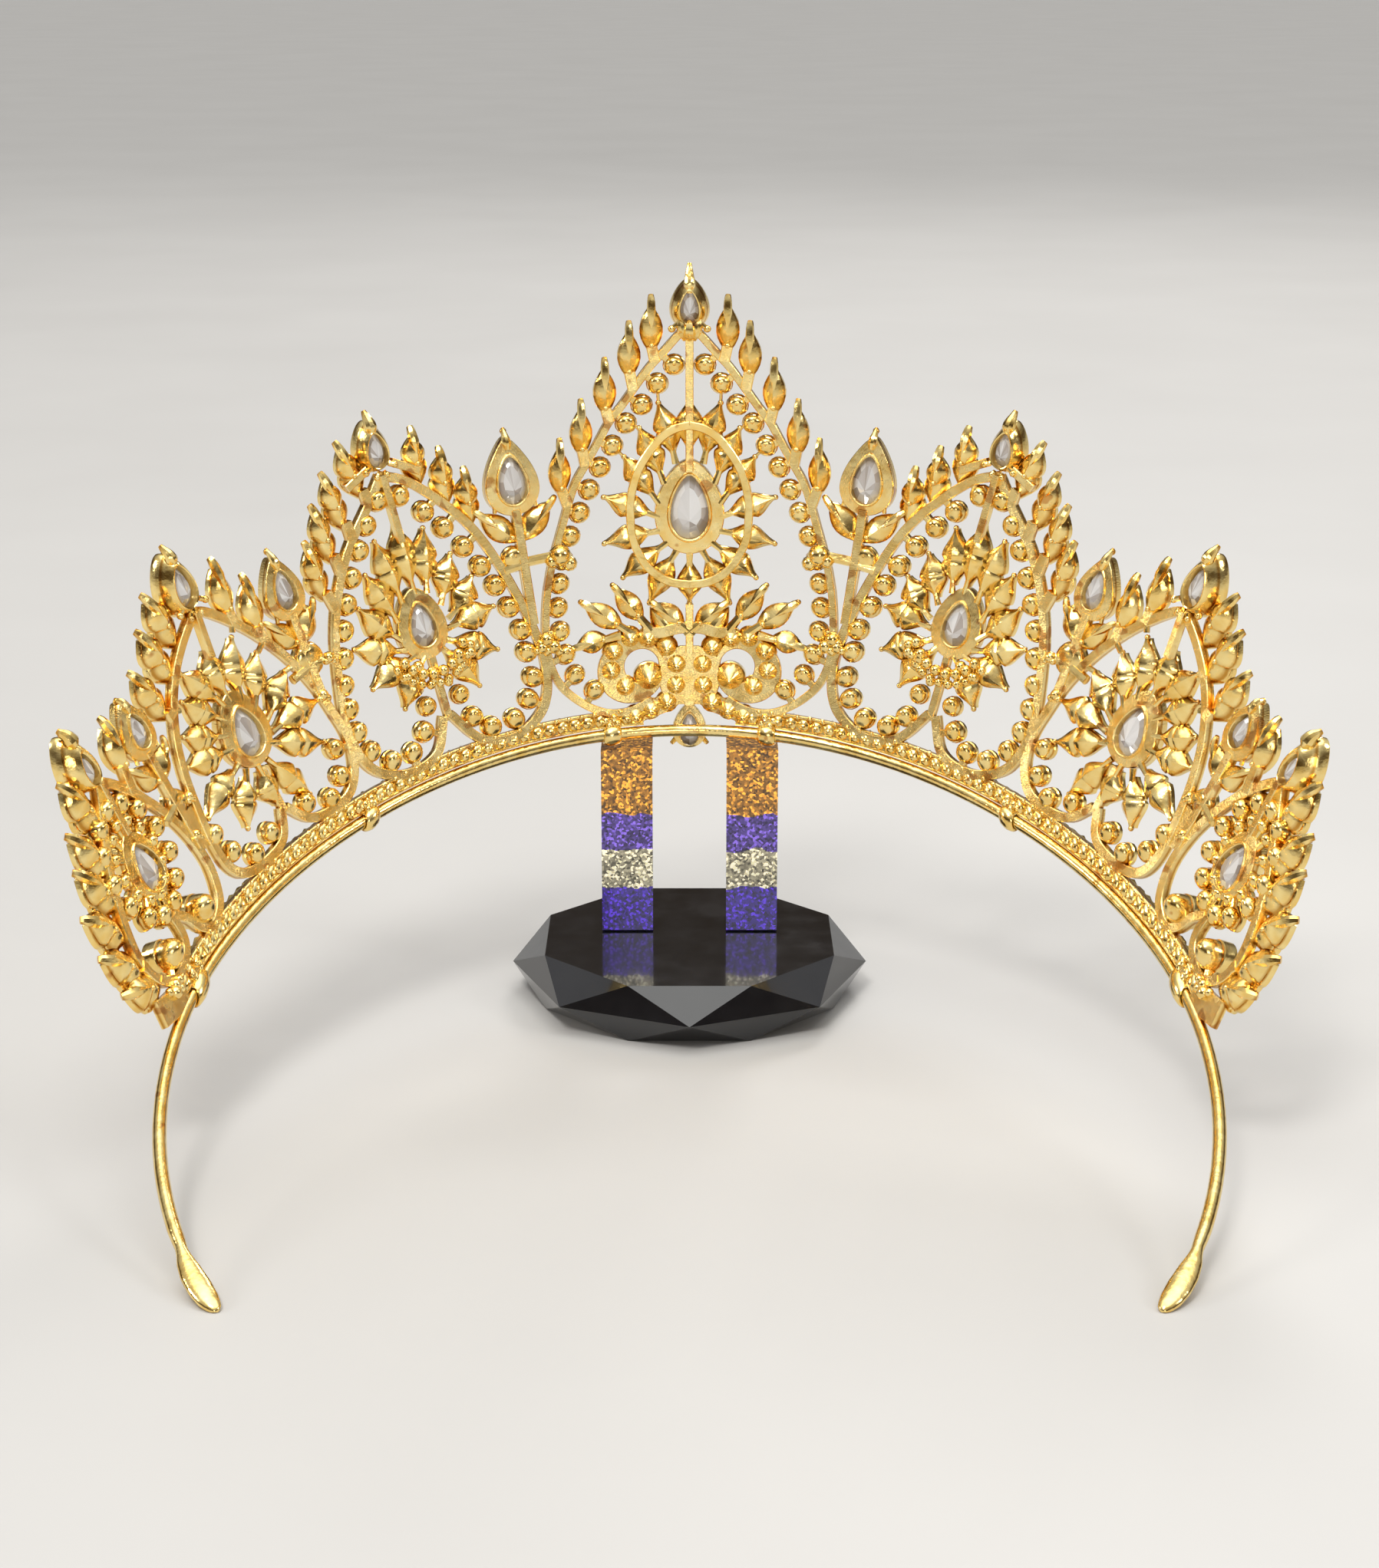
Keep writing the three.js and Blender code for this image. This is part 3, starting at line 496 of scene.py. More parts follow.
def rod(route, radii, corners=8):
    """A round rod along a route of x, y, w: rings square to it, their radii spread evenly."""
    route, heading = np.asarray(route, float), headings(route)
    side = np.cross(heading, (0.03, 0.01, 1.0))
    side /= np.linalg.norm(side, axis=1)[:, None]
    other = np.cross(heading, side)
    turn = around(corners)[:, None]
    radii = np.atleast_1d(radii)
    radii = np.interp(np.linspace(0, 1, len(route)), np.linspace(0, 1, len(radii)), radii)
    spokes = side[:, None] * np.cos(turn) + other[:, None] * np.sin(turn)
    return skin(route[:, None] + radii[:, None, None] * spokes)


def unit(vector):
    """A vector made one unit long."""
    return vector / np.linalg.norm(vector)


def leaf(foot, tip, width, prong=1.9, tucked=False, depth=1.3, stout=1.0, keel=0.72):
    """An almond cup with a stout prong that grows out of its ridge and bends to the open side, and
    a casting nub low on its back. With tucked, a second cup lies under its lower half."""
    foot, tip = np.array(foot, float), np.array(tip, float)
    axis = unit(tip - foot)
    top = tip - axis * prong * 0.85
    start = foot + 0.3 * (tip - foot) if tucked else foot
    shapes = almond(start, top, width, depth, fullest=0.49, keel=keel)
    if tucked:
        low = foot + 0.62 * (tip - foot)
        aside = np.array([-axis[1], axis[0]]) * tucked * 0.35
        shapes += almond(foot - aside, low + aside, width * 1.12, depth * 0.85, fullest=0.55,
                         level=0.5, keel=0.35)
    reach = np.linalg.norm(top - start)
    along = np.array([-0.5 * reach, -0.3 * reach, -0.12 * reach, 0.3 * prong, 0.65 * prong,
                      0.85 * prong])
    deep = depth * np.array([-0.85, -0.72, -0.5, -0.2, 0, 0.2])
    route = np.concatenate([top + along[:, None] * axis, deep[:, None]], 1)
    shapes.append(rod(route, stout * np.array([0.1, 0.42, 0.68, 0.62, 0.52, 0.42])))
    nub = start + 0.2 * (top - start)
    shapes.append(knob(*nub, -depth * 0.66, 0.46))
    return shapes


def pear(width, height, turns, draw=0.42):
    """A pear's outline, clockwise from its point, which is above. The sine of its width is
    narrowed by the share draw times the height's share to the power 1.5."""
    narrow = (1 + 0.28 * draw) * (1 - draw * (0.5 + 0.5 * np.cos(turns)) ** 1.5)
    return np.stack([width / 2 * np.sin(turns) * narrow, height / 2 * np.cos(turns)], -1)


def setting(profile, finish, *, y, width, height, stone, x=0.0, level=0.0, draw=0.42, **_):
    """The metal round a pear stone, like a washer: a closed profile of (share, depth), carried
    round. The share runs from the stone's outline, 0, to the outer one, 1."""
    turns = around(48)
    outer = pear(width, height, turns, draw) + (x, y)
    inner = pear(*stone[:2], turns) + (x, stone[2] if len(stone) > 2 else y)
    rings = np.empty((len(profile), 48, 3))
    for ring, (share, depth) in zip(rings, profile):
        ring[:, :2] = inner + share * (outer - inner)
        ring[:, 2] = depth + level
    return skin(rings, finish, hollow=True)


PLATE = [
    (-0.06, -0.3), (-0.04, -1.3), (0.02, -1.42), (0.1, -1.42), (0.16, -1.25), (0.2, -1.02),
    (0.94, -0.8), (0.99, -0.66), (1.0, -0.4), (1.0, 1.3), (0.97, 1.5), (0.88, 1.5), (0.82, 1.2),
    (0.3, 0.7), (-0.06, 0.5),
]
CUP = [
    (-0.08, 0.2), (-0.06, -1.5), (0.02, -1.75), (0.14, -1.8), (0.26, -1.6), (0.52, -0.85),
    (0.78, 0.0), (0.94, 0.75), (1.0, 1.3), (1.0, 2.0), (0.96, 2.15), (0.84, 2.15), (0.76, 1.8),
    (0.3, 1.0), (-0.06, 0.7),
]


def bezel(form, thick, profile=CUP, finish=POLISHED):
    """A pear setting drawn up into its spike."""
    x, y, top = form.get("x", 0.0), form["y"], form["y"] + form["height"] / 2
    point = form["spike"] - top
    route = smooth([(x, top - 1.9, -1.1), (x, top - 0.9, -1.0), (x, top, -0.7),
                    (x, top + 0.5 * point, -0.1), (x, top + point, 0.4)], 0.4)
    width = thick * np.interp(np.linspace(0, 1, len(route)), [0, 0.25, 0.45, 1],
                              [0.5, 1, 0.9, 0.35])
    return [setting(profile, finish, **form), rod(route, width, corners=10)]


def stems(route, feet):
    """Short strips that carry leaves on the frame, from each leaf's foot to the frame under it."""
    shapes = []
    for x, y in feet:
        near = route[np.hypot(route[:, 0] - x, 0.45 * (route[:, 1] - y)).argmin()]
        if math.dist(near, (x, y)) > 0.4:
            shapes.append(strip(smooth([(x, y + 1.5), near], 0.8), width=1.7, back=-0.9,
                                front=0.6))
    return shapes


def beads(route, places, radius, nub):
    """A row of round cups, each with a short arm to the nearest part of the frame."""
    shapes = []
    for x, y in places:
        shapes += dome(x, y, radius, 0.95 * radius, nub=nub)
        near = route[np.hypot(route[:, 0] - x, route[:, 1] - y).argmin()]
        shapes.append(strip(smooth([(x, y), near], 0.8), width=1.1, back=-0.7, front=0.7))
    return shapes


def petals(rows, width=4.1):
    """Two rounds of petal cups, the outer with knobs and the inner with pegs to the stone's plate.
    A row has the outer tip, the waist where both cups meet, and the end of the peg."""
    shapes = []
    for tip, waist, peg in np.array(rows, float):
        inward, outward = unit(peg - waist), unit(tip - waist)
        shapes += kite(waist + inward * 1.2, tip, width, level=0.0)
        shapes += kite(waist + outward * 1.0, peg - inward * 0.3, width * 0.97, level=-0.12)
        pin = [(*(peg + inward * reach), -0.4) for reach in (-1.6, -0.4, 0.8)]
        shapes += [knob(*tip, 0.1, 0.48), rod(pin, (0.45, 0.5, 0.6))]
    return shapes


def leaf_feet(leaves, length):
    """The feet of leaves given by tip and lean in degrees: each lies its length back along it."""
    return [(x - length * math.sin(math.radians(t)), y - length * math.cos(math.radians(t)))
            for x, y, t in leaves]


front_side = smooth([
    (0.6, 66.8), (1.7, 65.7), (4, 63), (6.2, 60.5), (8.5, 57.3), (10.5, 54.5), (12.6, 51.8),
    (14.4, 48.6), (16.2, 45.5), (18.3, 41.8), (20.5, 35), (22.4, 28.6), (23.4, 22.3), (23.4, 15.5),
    (21.7, 10.2), (18.3, 6.4), (14.2, 4), (10.8, 3.6), (8.2, 4.3), (6.1, 5.5),
])
front_leaves = [(5.8, 72.2, 0), (9.2, 68.1, 0), (13, 62.4, 0), (16.8, 56, 0), (20.3, 50, 0)]
front_beads = [
    (2.35, 60.7), (4.9, 57.7), (7.35, 54.3), (9.8, 51.4), (11.95, 47.9), (13.95, 44.5),
    (15.75, 41), (17.35, 37.4), (18.95, 33.7), (20.2, 30), (20.9, 26.2), (21.25, 22.3),
    (21, 18.35), (20.2, 14.4), (18.7, 10.8), (15.6, 7.8),
]
front_petals = [
    ((4.8, 54.6), (3.3, 50.1), (2.3, 45.4)), ((7.8, 50.6), (5.9, 46.7), (4.2, 42.1)),
    ((10.2, 46), (8.2, 42.9), (5.2, 38.7)), ((13.5, 39.6), (9.5, 37.6), (5.5, 36.1)),
    ((13.5, 31.9), (9.2, 32.7), (5.5, 33.4)), ((10.6, 26), (7.5, 28.4), (4.1, 31.1)),
    ((6.4, 21.5), (4.4, 26), (2.4, 29.5)),
]
# A ring of strip is soldered across the backs of the petals to hold them.
front_ring = [
    (0, 51.2), (2.4, 50.6), (4.9, 48.8), (8, 44.3), (9.4, 39.5), (9.5, 36.1), (9.1, 32.4),
    (7.4, 28.7), (5.4, 26.5), (2.9, 25.1), (0, 24.7),
]
front_top = dict(y=70.4, width=6.2, height=8.3, stone=(3.0, 5.3), spike=77.2)
front_medal = dict(y=37.4, width=11.2, height=15.6, stone=(6.4, 10.8), draw=0.33)

shapes = [strip(smooth([(0, 66.4), (0, 43.4)]), width=1.25, back=-1.9, front=-0.5)]
for hand in (1, -1):
    flip = np.array([hand, 1])
    route = front_side * flip
    feet = [(hand * x, y) for x, y in leaf_feet(front_leaves, length=9.7)]
    shapes.append(strip(route))
    for foot, (x, y, _) in zip(feet, front_leaves):
        shapes += leaf(foot, (hand * x, y), width=3.5)
    shapes += stems(route, feet)
    shapes += beads(route, np.array(front_beads) * flip, 1.76, nub=0.28)
    shapes.append(strip(smooth(front_ring) * flip, width=1.35, back=-2.4, front=-1.3,
                        finish=POLISHED))
    shapes += petals(np.array(front_petals) * flip)
    prong = smooth([(hand * 1.5, 68.6, -1), (hand * 1.2, 67, -1.5), (hand * 0.7, 65, -1)], 0.5)
    shapes += [rod([(hand * 1.3, 68, -0.8), (hand * 2.5, 67, -0.8)], 0.42),
               knob(hand * 2.7, 66.8, -0.8, 0.62),
               rod(prong, (0.35, 0.55, 0.72, 0.8, 0.75, 0.6, 0.4))]
    for bead, petal in ((1, 0), (3, 1), (4, 2)):
        ends = np.array([front_beads[bead], front_petals[petal][0]]) * flip
        shapes.append(rod([(x, y, 0) for x, y in ends], 0.25, corners=6))
shapes += petals([((0, 55), (0, 51.2), (0, 46)), ((0, 21.4), (0, 24.5), (0, 29))])
shapes += bezel(front_top, 0.9)
shapes.append(rod(smooth([(0, 68.2, -1.2), (0, 66.6, -1.9), (0, 64.8, -1.3)], 0.5),
                  (0.35, 0.6, 0.78, 0.85, 0.8, 0.65, 0.4)))
shapes.append(setting(PLATE, FILED, **front_medal))
cast("front_panel", shapes)


# The foot of the front panel: two C-scrolls that curl in to a deep cup, joined by a plate of
# smaller cups, with four leaves on each side and the stem of the medallion between them.
hole_middle, hole_radius = np.array([7.8, 11.1]), 2.8
scroll_middle, scroll_radius = np.array([9.5, 10.5]), 5.5
turn = np.radians(np.linspace(-138, 182, 46))
ray = np.stack([np.cos(turn), np.sin(turn)], -1)
aside = scroll_middle - hole_middle
outer_reach = ray @ aside + np.sqrt((ray @ aside) ** 2 + scroll_radius ** 2 - (aside ** 2).sum())
scroll_route = hole_middle + ray * ((hole_radius + outer_reach) / 2)[:, None]
scroll_cups = [
    (6.7, 15.7), (9.6, 16), (12.3, 13.9), (12.8, 10.8), (10.5, 7.9), (3.7, 14.1), (2.1, 11.2),
    (2.2, 7.7), (3.7, 4.9), (6.4, 3.8), (8.9, 2.9),
]
scroll_leaves = [
    ((7.4, 18.4), (12.3, 24.9)), ((10.6, 17.5), (17.5, 22.7)), ((13, 16.2), (19.1, 15.2)),
    ((0.7, 17.2), (6.3, 21.8)),
]

shapes = [strip(smooth([(0, 21.2), (0, 13)]), width=1.25, back=-1.0, front=0.7),
          strip(smooth([(-7.5, 16.6), (-4.5, 16.6), (-2, 17.2), (0, 17.3), (2, 17.2), (4.5, 16.6),
                        (7.5, 16.6)]), width=1.9, back=-0.9, front=0.7)]
plate_route = smooth([(0, 14.2), (0, 4.4)])
plate_width = np.interp(plate_route[::-1, 1], [4.4, 5.6, 7.5, 11, 13, 14.2],
                        [4.4, 8.4, 9.8, 9.6, 8.6, 3])[::-1]
shapes.append(strip(plate_route, width=plate_width, back=-0.25, front=0.7))
for hand in (1, -1):
    flip = np.array([hand, 1])
    shapes.append(strip(scroll_route * flip, width=outer_reach - hole_radius, back=-0.3,
                        front=0.8))
    arm = smooth([(1.8, 6.6), (3.7, 4.9), (6.4, 3.7), (9, 2.8), (11.6, 2.6)])
    shapes.append(strip(arm * flip, width=np.linspace(3.4, 2.2, len(arm)), back=-0.3, front=0.8))
    for x, y in scroll_cups:
        shapes += dome(hand * x, y, 1.88, 1.6, nub=0.5, cone=0.6, rise=-0.2)
        shapes.append(knob(hand * x, y - 1.15, -0.6, 0.32, corners=8))
    shapes += dome(hand * 6.6, 9.2, 2.5, 2.2, rim=1.9, nub=0.3, cone=0.85, rise=-0.25, corners=24)
    for foot, tip in scroll_leaves:
        foot, tip = np.array(foot) * flip, np.array(tip) * flip
        root = foot - unit(tip - foot) * 1.8
        peg = [(*root, -0.2), (*foot, -0.4), (*(foot * 0.85 + tip * 0.15), -0.5)]
        shapes += leaf(foot, tip, width=3.7, prong=0.9, depth=1.15)
        shapes += [knob(*tip, 0.2, 0.48), rod(peg, (0.85, 0.7, 0.65))]
    shapes += almond((hand * 2.6, 15.6), (hand * 6.3, 20.8), 3.4, 1.2, keel=0.3, level=0.3)
    shapes.append(rod([(hand * 2, -1.4, 2.4), (hand * 2.9, -2.3, 1.8)], (0.5, 0.35)))
front_drop = dict(y=0.6, width=5.6, height=7.3, stone=(3.1, 5.3, 0.0), level=2.2)
shapes.append(setting(PLATE, FILED, **front_drop))
shapes.append(strip([(0, 6), (0, 5.4), (0, 4.8), (0, 4.2)], width=[3.2, 2.6, 2, 1.6], back=-0.4,
                    front=2.4))
cast("front_scrolls", shapes)


# The middle panels: the same arch on both sides of the front one, with double leaves. Two rounds
# of petals overlap about the stone, and a double row of solder beads closes the lower ones.
def panel_shapes(sides, top, medal, rows, spine, foot, thick):
    """A whole side panel, whose top bezel's spike is that thick. A side has its route, its leaves'
    length, width, depth and whether they are double, their tips and leans, and its round cups."""
    shapes = []
    for side in sides:
        route = smooth(side["route"])
        length, width, depth, tucked = side["leaf"]
        feet = leaf_feet(side["leaves"], length)
        shapes.append(strip(route, width=1.55))
        for start, (x, y, _) in zip(feet, side["leaves"]):
            shapes += leaf(start, (x, y), width=width, tucked=tucked and math.copysign(1, x),
                           depth=depth, stout=1.3, keel=0.45)
        shapes += stems(route, feet)
        shapes += beads(route, side["beads"], 1.85, nub=0.2)
    shapes.append(strip(smooth(spine), width=1.25, back=-1.6, front=0))
    shapes.append(strip(smooth(foot), width=1.3, back=-0.7, front=0.7))
    shapes += bezel(top, thick)
    shapes.append(setting(PLATE, FILED, **medal))
    shapes += petals(rows, width=4.8)
    return shapes


SIDES = (("left", False), ("right", True))


def cast_pair(name, shapes, azimuth):
    """A casting on the left, that many degrees from the front, and its mirror on the right."""
    for side, mirrored in SIDES:
        cast(f"{name}_{side}", shapes, -azimuth, mirrored)


middle_top = dict(x=-1.1, y=55.3, width=6.2, height=8.4, stone=(3.6, 5.6, 54.9), spike=61.2)
middle_medal = dict(x=-0.5, y=25.6, width=9, height=12, stone=(4.7, 7.3, 25.4), draw=0.36)
middle_sides = [
    dict(route=[(-1.1, 50.6), (-4.4, 46.7), (-10.6, 40), (-15.2, 31.8), (-17.8, 22.8),
                (-18.9, 13.8), (-16.5, 6.9), (-10.5, 3.5), (-4.2, 4.5), (-1.1, 9.9)],
         leaf=(10.5, 3.9, 1.4, True),
         leaves=[(-7.3, 58, -15), (-11.1, 54.2, -12), (-14.3, 50, -10), (-17.1, 45, -8)],
         beads=[(-2.4, 46.8), (-5.3, 43.6), (-7.7, 40.2), (-10.2, 36.5), (-12.3, 32.8),
                (-14.1, 29.1), (-15.5, 25), (-16.8, 21), (-17.2, 17.2), (-16.9, 13.2),
                (-15.5, 9.4), (-12.3, 6.4), (-8.1, 6.2), (-5, 8.6)]),
    dict(route=[(-1.1, 50.6), (3.8, 48), (10.8, 40.3), (14.6, 32.6), (17.4, 22.6), (18.3, 13.6),
                (16, 6.6), (10.2, 3), (4.2, 4.3), (0.1, 9.9)],
         leaf=(9.9, 3.8, 1.4, True), leaves=[(6, 56.7, 4), (9.9, 52.4, 5), (13.2, 48.2, 6)],
         beads=[(1.5, 46.4), (5, 42.8), (7.6, 39.4), (10.1, 35.5), (12.1, 31.7), (13.7, 28),
                (15, 24), (16, 19.9), (15.9, 16.1), (15.8, 11.8), (14.1, 8.4), (10.9, 5.8),
                (6.7, 5.6), (4.1, 8.1)]),
]
middle_petals = [
    ((-0.3, 42.2), (-0.2, 37.3), (-0.2, 31.3)), ((4.2, 40.3), (3.1, 35.2), (2.1, 30.8)),
    ((7.7, 35), (6.1, 31.5), (4.1, 28.1)), ((10.2, 30.5), (8.8, 27.5), (5, 25.3)),
    ((12.5, 24.8), (9.2, 24), (4.6, 23.5)), ((11.3, 17.7), (8.2, 19), (3.8, 21.4)),
    ((6.7, 12.7), (5.5, 16.6), (2.3, 20.3)), ((-4.6, 40.7), (-3.3, 35.6), (-2.8, 30.6)),
    ((-7.7, 36.1), (-5.7, 31.8), (-4.6, 27.9)), ((-10.4, 31.4), (-7.7, 27.4), (-5.1, 24.7)),
    ((-13.2, 25.6), (-8.8, 23.5), (-5, 22.5)), ((-11.8, 18.4), (-7.2, 19.9), (-3.6, 20.8)),
    ((-7.1, 13.3), (-4.6, 16.7), (-1.9, 19.8)),
]
shapes = panel_shapes(middle_sides, middle_top, middle_medal, middle_petals,
                      [(-1, 50.8), (-0.4, 39.4)], [(-0.2, 20), (-0.2, 9)], thick=1.15)
for reach, level, step, radius in ((7.0, -1.5, 17, 1.0), (8.7, -1.1, 12, 0.85)):
    for turn in np.radians(np.arange(120, 243, step)):
        x, y = reach * 0.92 * math.sin(turn) - 0.3, 24.2 + reach * math.cos(turn)
        shapes.append(knob(x, y, level, radius))
shapes += [knob(x, y, -1.1, radius) for x, y, radius in (
    (4.1, 18.3, 1.2), (6.3, 18.7, 1.0), (-3.3, 19.2, 1.0), (-5.7, 18.3, 0.9), (-1.3, 16.3, 0.8),
    (1.2, 15.1, 0.8), (3.6, 16.6, 0.8), (-1.3, 17.8, 0.7))]
for x in (-3.2, 3):
    shapes += dome(x, 12.3, 1.7, 1.6, nub=0.2)
for x, y in ((-7.3, 50.4), (5.7, 49.6)):
    bar = smooth([(math.copysign(2.2, x) - 0.9, 52.2), (x, y)])
    shapes.append(strip(bar, width=1.4, back=-0.8, front=0.6))
for x, y in ((2.6, 51.6), (0.9, 50.4), (-2.6, 51.6), (-0.9, 50.4)):
    shapes += [rod([(0.6 * x - 1, y + 0.8, -0.9), (x - 1, y + 0.2, -0.9)], 0.42),
               knob(x - 1, y + 0.2, -0.9, 0.58)]
cast_pair("middle_panel", shapes, 29.6)


# The outer panels are lower and broader, with few round cups. Their leaves are double only towards
# the ears. Their petals fill the arch, and the tips of the upper ones are soldered to its frame.
outer_top = dict(x=-1.5, y=48.9, width=8, height=10.2, stone=(4.2, 6.8, 48.6), spike=55.4)
outer_medal = dict(x=-1.0, y=23.9, width=10.4, height=12.8, stone=(6.0, 8.2, 23.3), draw=0.33)
outer_sides = [
    dict(route=[(-0.8, 43.9), (-5.2, 41), (-8.8, 38), (-12, 34.2), (-14.5, 29.6), (-15.9, 25.2),
                (-16.7, 20), (-17.1, 13), (-16.2, 8.2), (-13.5, 5.4), (-8.6, 4.6), (-3.6, 5.6),
                (-1.1, 9.6)],
         leaf=(10.9, 5.0, 1.7, True),
         leaves=[(-9.1, 50.8, -17), (-13, 46.7, -18), (-17.8, 42.4, -22)],
         beads=[(-15.8, 13.5), (-14, 9.5), (-9.8, 6.6), (-5.1, 7.6)]),
    dict(route=[(-0.8, 43.9), (1.4, 42.9), (5.6, 39.2), (9.4, 34.8), (12.8, 29.4), (15.1, 23.6),
                (16.2, 18.1), (16.6, 13.4), (15.3, 8.8), (12.2, 5.4), (7.4, 4.6), (3.1, 5.6),
                (-0.2, 9.4)],
         leaf=(10, 4.6, 1.6, False), leaves=[(6.7, 49.6, 5), (11.2, 44.9, 7)],
         beads=[(13.7, 12.7), (12.4, 8.4), (8.7, 6.2), (4, 7.8)]),
]
outer_petals = [
    ((-1.3, 37.7), (-1.6, 34.5), (-1.3, 29.5)), ((4.7, 37), (2.4, 32.5), (1.3, 28.6)),
    ((8, 32.8), (6, 29.1), (3.3, 26.1)), ((11.8, 27.8), (8.8, 25.2), (4.6, 23.1)),
    ((14.9, 21), (10.7, 21.1), (4.6, 20.7)), ((12.6, 14.6), (8.4, 16.5), (3.1, 19.3)),
    ((5.6, 8.6), (3.8, 12.5), (1, 17)), ((-1, 10.2), (-1.3, 13.5), (-1.6, 17)),
    ((-8.6, 10.4), (-6.3, 13.9), (-4.4, 17.7)), ((-15.1, 16), (-9.7, 17.9), (-5.8, 19.5)),
    ((-14.4, 24.4), (-9.8, 23.2), (-5.8, 22.5)), ((-12.6, 28.6), (-9.5, 26.4), (-5.5, 24.9)),
    ((-10, 33.2), (-7.4, 30.1), (-4.3, 27.3)), ((-7.9, 37), (-5, 33.5), (-3.1, 29.5)),
]
shapes = panel_shapes(outer_sides, outer_top, outer_medal, outer_petals,
                      [(-0.9, 44), (-1.5, 36.5)], [(-0.9, 17), (-0.7, 8.8)], thick=1.1)
for x, y in ((3, 44.8), (1.2, 43.4), (-3, 44.8), (-1.2, 43.4)):
    shapes += [rod([(0.6 * x - 1, y + 0.8, -0.9), (x - 1, y, -0.9)], 0.45),
               knob(x - 1, y, -0.9, 0.62)]
for start, end in (((5.6, 39.2), (4.9, 37.7)), ((9.9, 34), (8, 32.8)), ((13.4, 28), (11.1, 27.9)),
                   ((-9.6, 37.2), (-8.5, 36.5)), ((-12.8, 33), (-11.4, 32.5))):
    shapes.append(rod([(*start, -0.3), (*end, -0.3)], 0.5))
cast_pair("outer_panel", shapes, 54.9)


# The end panels curve round to the ears. A double row of cups takes the place of petals there, and
# two deep cups stand at the foot. Their outer leaves are broad and lean back.
end_top = dict(x=-1, y=38.2, width=7.6, height=9.4, stone=(3.2, 5.6, 37.0), spike=44)
end_medal = dict(x=-0.9, y=19.5, width=9, height=11.4, stone=(5.7, 8, 19.0), draw=0.3)
end_sides = [
    dict(route=[(0.2, 34), (-1.9, 31.1), (-4.9, 27.5), (-9.3, 21.6), (-12.2, 16.3), (-13.7, 11.5),
                (-12.8, 7.2), (-9.4, 4.4), (-5.6, 4.4), (-3.2, 5.6), (-2.1, 7.6), (-2, 10.4)],
         leaf=(11.2, 5.4, 1.9, True),
         leaves=[(-7.2, 38.8, -18), (-11.6, 32.9, -23), (-14.6, 28.7, -23), (-19.2, 23.9, -35),
                 (-21.1, 18.2, -38), (-21.6, 11.8, -56)],
         beads=[]),
    dict(route=[(0.2, 34), (2.6, 31.9), (5.4, 28.6), (8.7, 23), (10.7, 17), (10.9, 11), (8.9, 6.2),
                (6.2, 4.2), (3.9, 3.9), (1.9, 5.4), (0.6, 8.2), (-1.6, 10.4)],
         leaf=(9.4, 4.2, 1.8, False), leaves=[(8.2, 40.3, 10)], beads=[]),
]
shapes = panel_shapes(end_sides, end_top, end_medal, [],
                      [(-0.2, 34.2), (-0.8, 25)], [(-1.2, 14.6), (-1.4, 9.4)], thick=1.25)
for count, rx, ry, size, depth in ((13, 7.5, 9.2, 1.85, 1.9), (12, 5.0, 6.4, 1.15, 1.5)):
    for turn in around(count):
        x, y = -1.5 + rx * math.sin(turn), 20.6 + ry * math.cos(turn)
        root = (-1.3 + 0.45 * rx * math.sin(turn), 20.2 + 0.5 * ry * math.cos(turn), -0.2)
        shapes += dome(x, y, size, depth, nub=0.32, lobes=0.03)
        shapes.append(rod([(x, y, -0.2), root], 0.5))
for x, y in ((-7.4, 7.4), (4.1, 7.2)):
    shapes += dome(x, y, 2.6, 3.2, rim=2.6, nub=0.3, corners=24)
    shapes.append(rod([(x, y, 0), (x * 1.3, y - 2.6, 0)], 0.8))
cast_pair("end_panel", shapes, 76.9)


# Pear finials stand between the panels, each on a stem with two leaves and a low cup, and a cross
# bar or a web of plate ties it to the frames beside it.
finials = [
    dict(name="front", azimuth=17.3, y=45.2, width=9.1, height=12.9, stone=(4.9, 8.1, 44.6),
         spike=53.1, leaf=(6.7, 40.7), cup=(-1.3, 31.6, 2.2), foot=20.5,
         bars=[((-3.4, 30.2), (0, 30.6)), ((0, 30.8), (6, 31))],
         solder=[(6, 31, 1.9), (1.6, 17.6, 1.3), (2.6, 16.2, 1.2), (0.6, 16.4, 1.1)]),
    dict(name="middle", azimuth=44.3, y=39.9, width=7.8, height=10.4, stone=(4.2, 6.6, 39.7),
         spike=46.6, leaf=(5.2, 36.2), cup=(0.5, 27.5, 3), foot=20.5,
         bars=[((-4.2, 26.0), (0, 26.8)), ((0, 27.0), (4.2, 26.4))],
         solder=[(3.6, 26.6, 1.0), (0, 21.6, 1.0)]),
    dict(name="rear", azimuth=68.8, y=35.1, width=7.6, height=9.8, stone=(3.9, 5.8, 34.9),
         spike=40.6, leaf=(5, 31), cup=(0.6, 21.7, 2.4), foot=14,
         bars=[((-4, 21.0), (0, 21.9)), ((0, 22.1), (3.6, 21))],
         solder=[(3, 21.2, 0.9), (0.2, 16, 0.9)]),
]
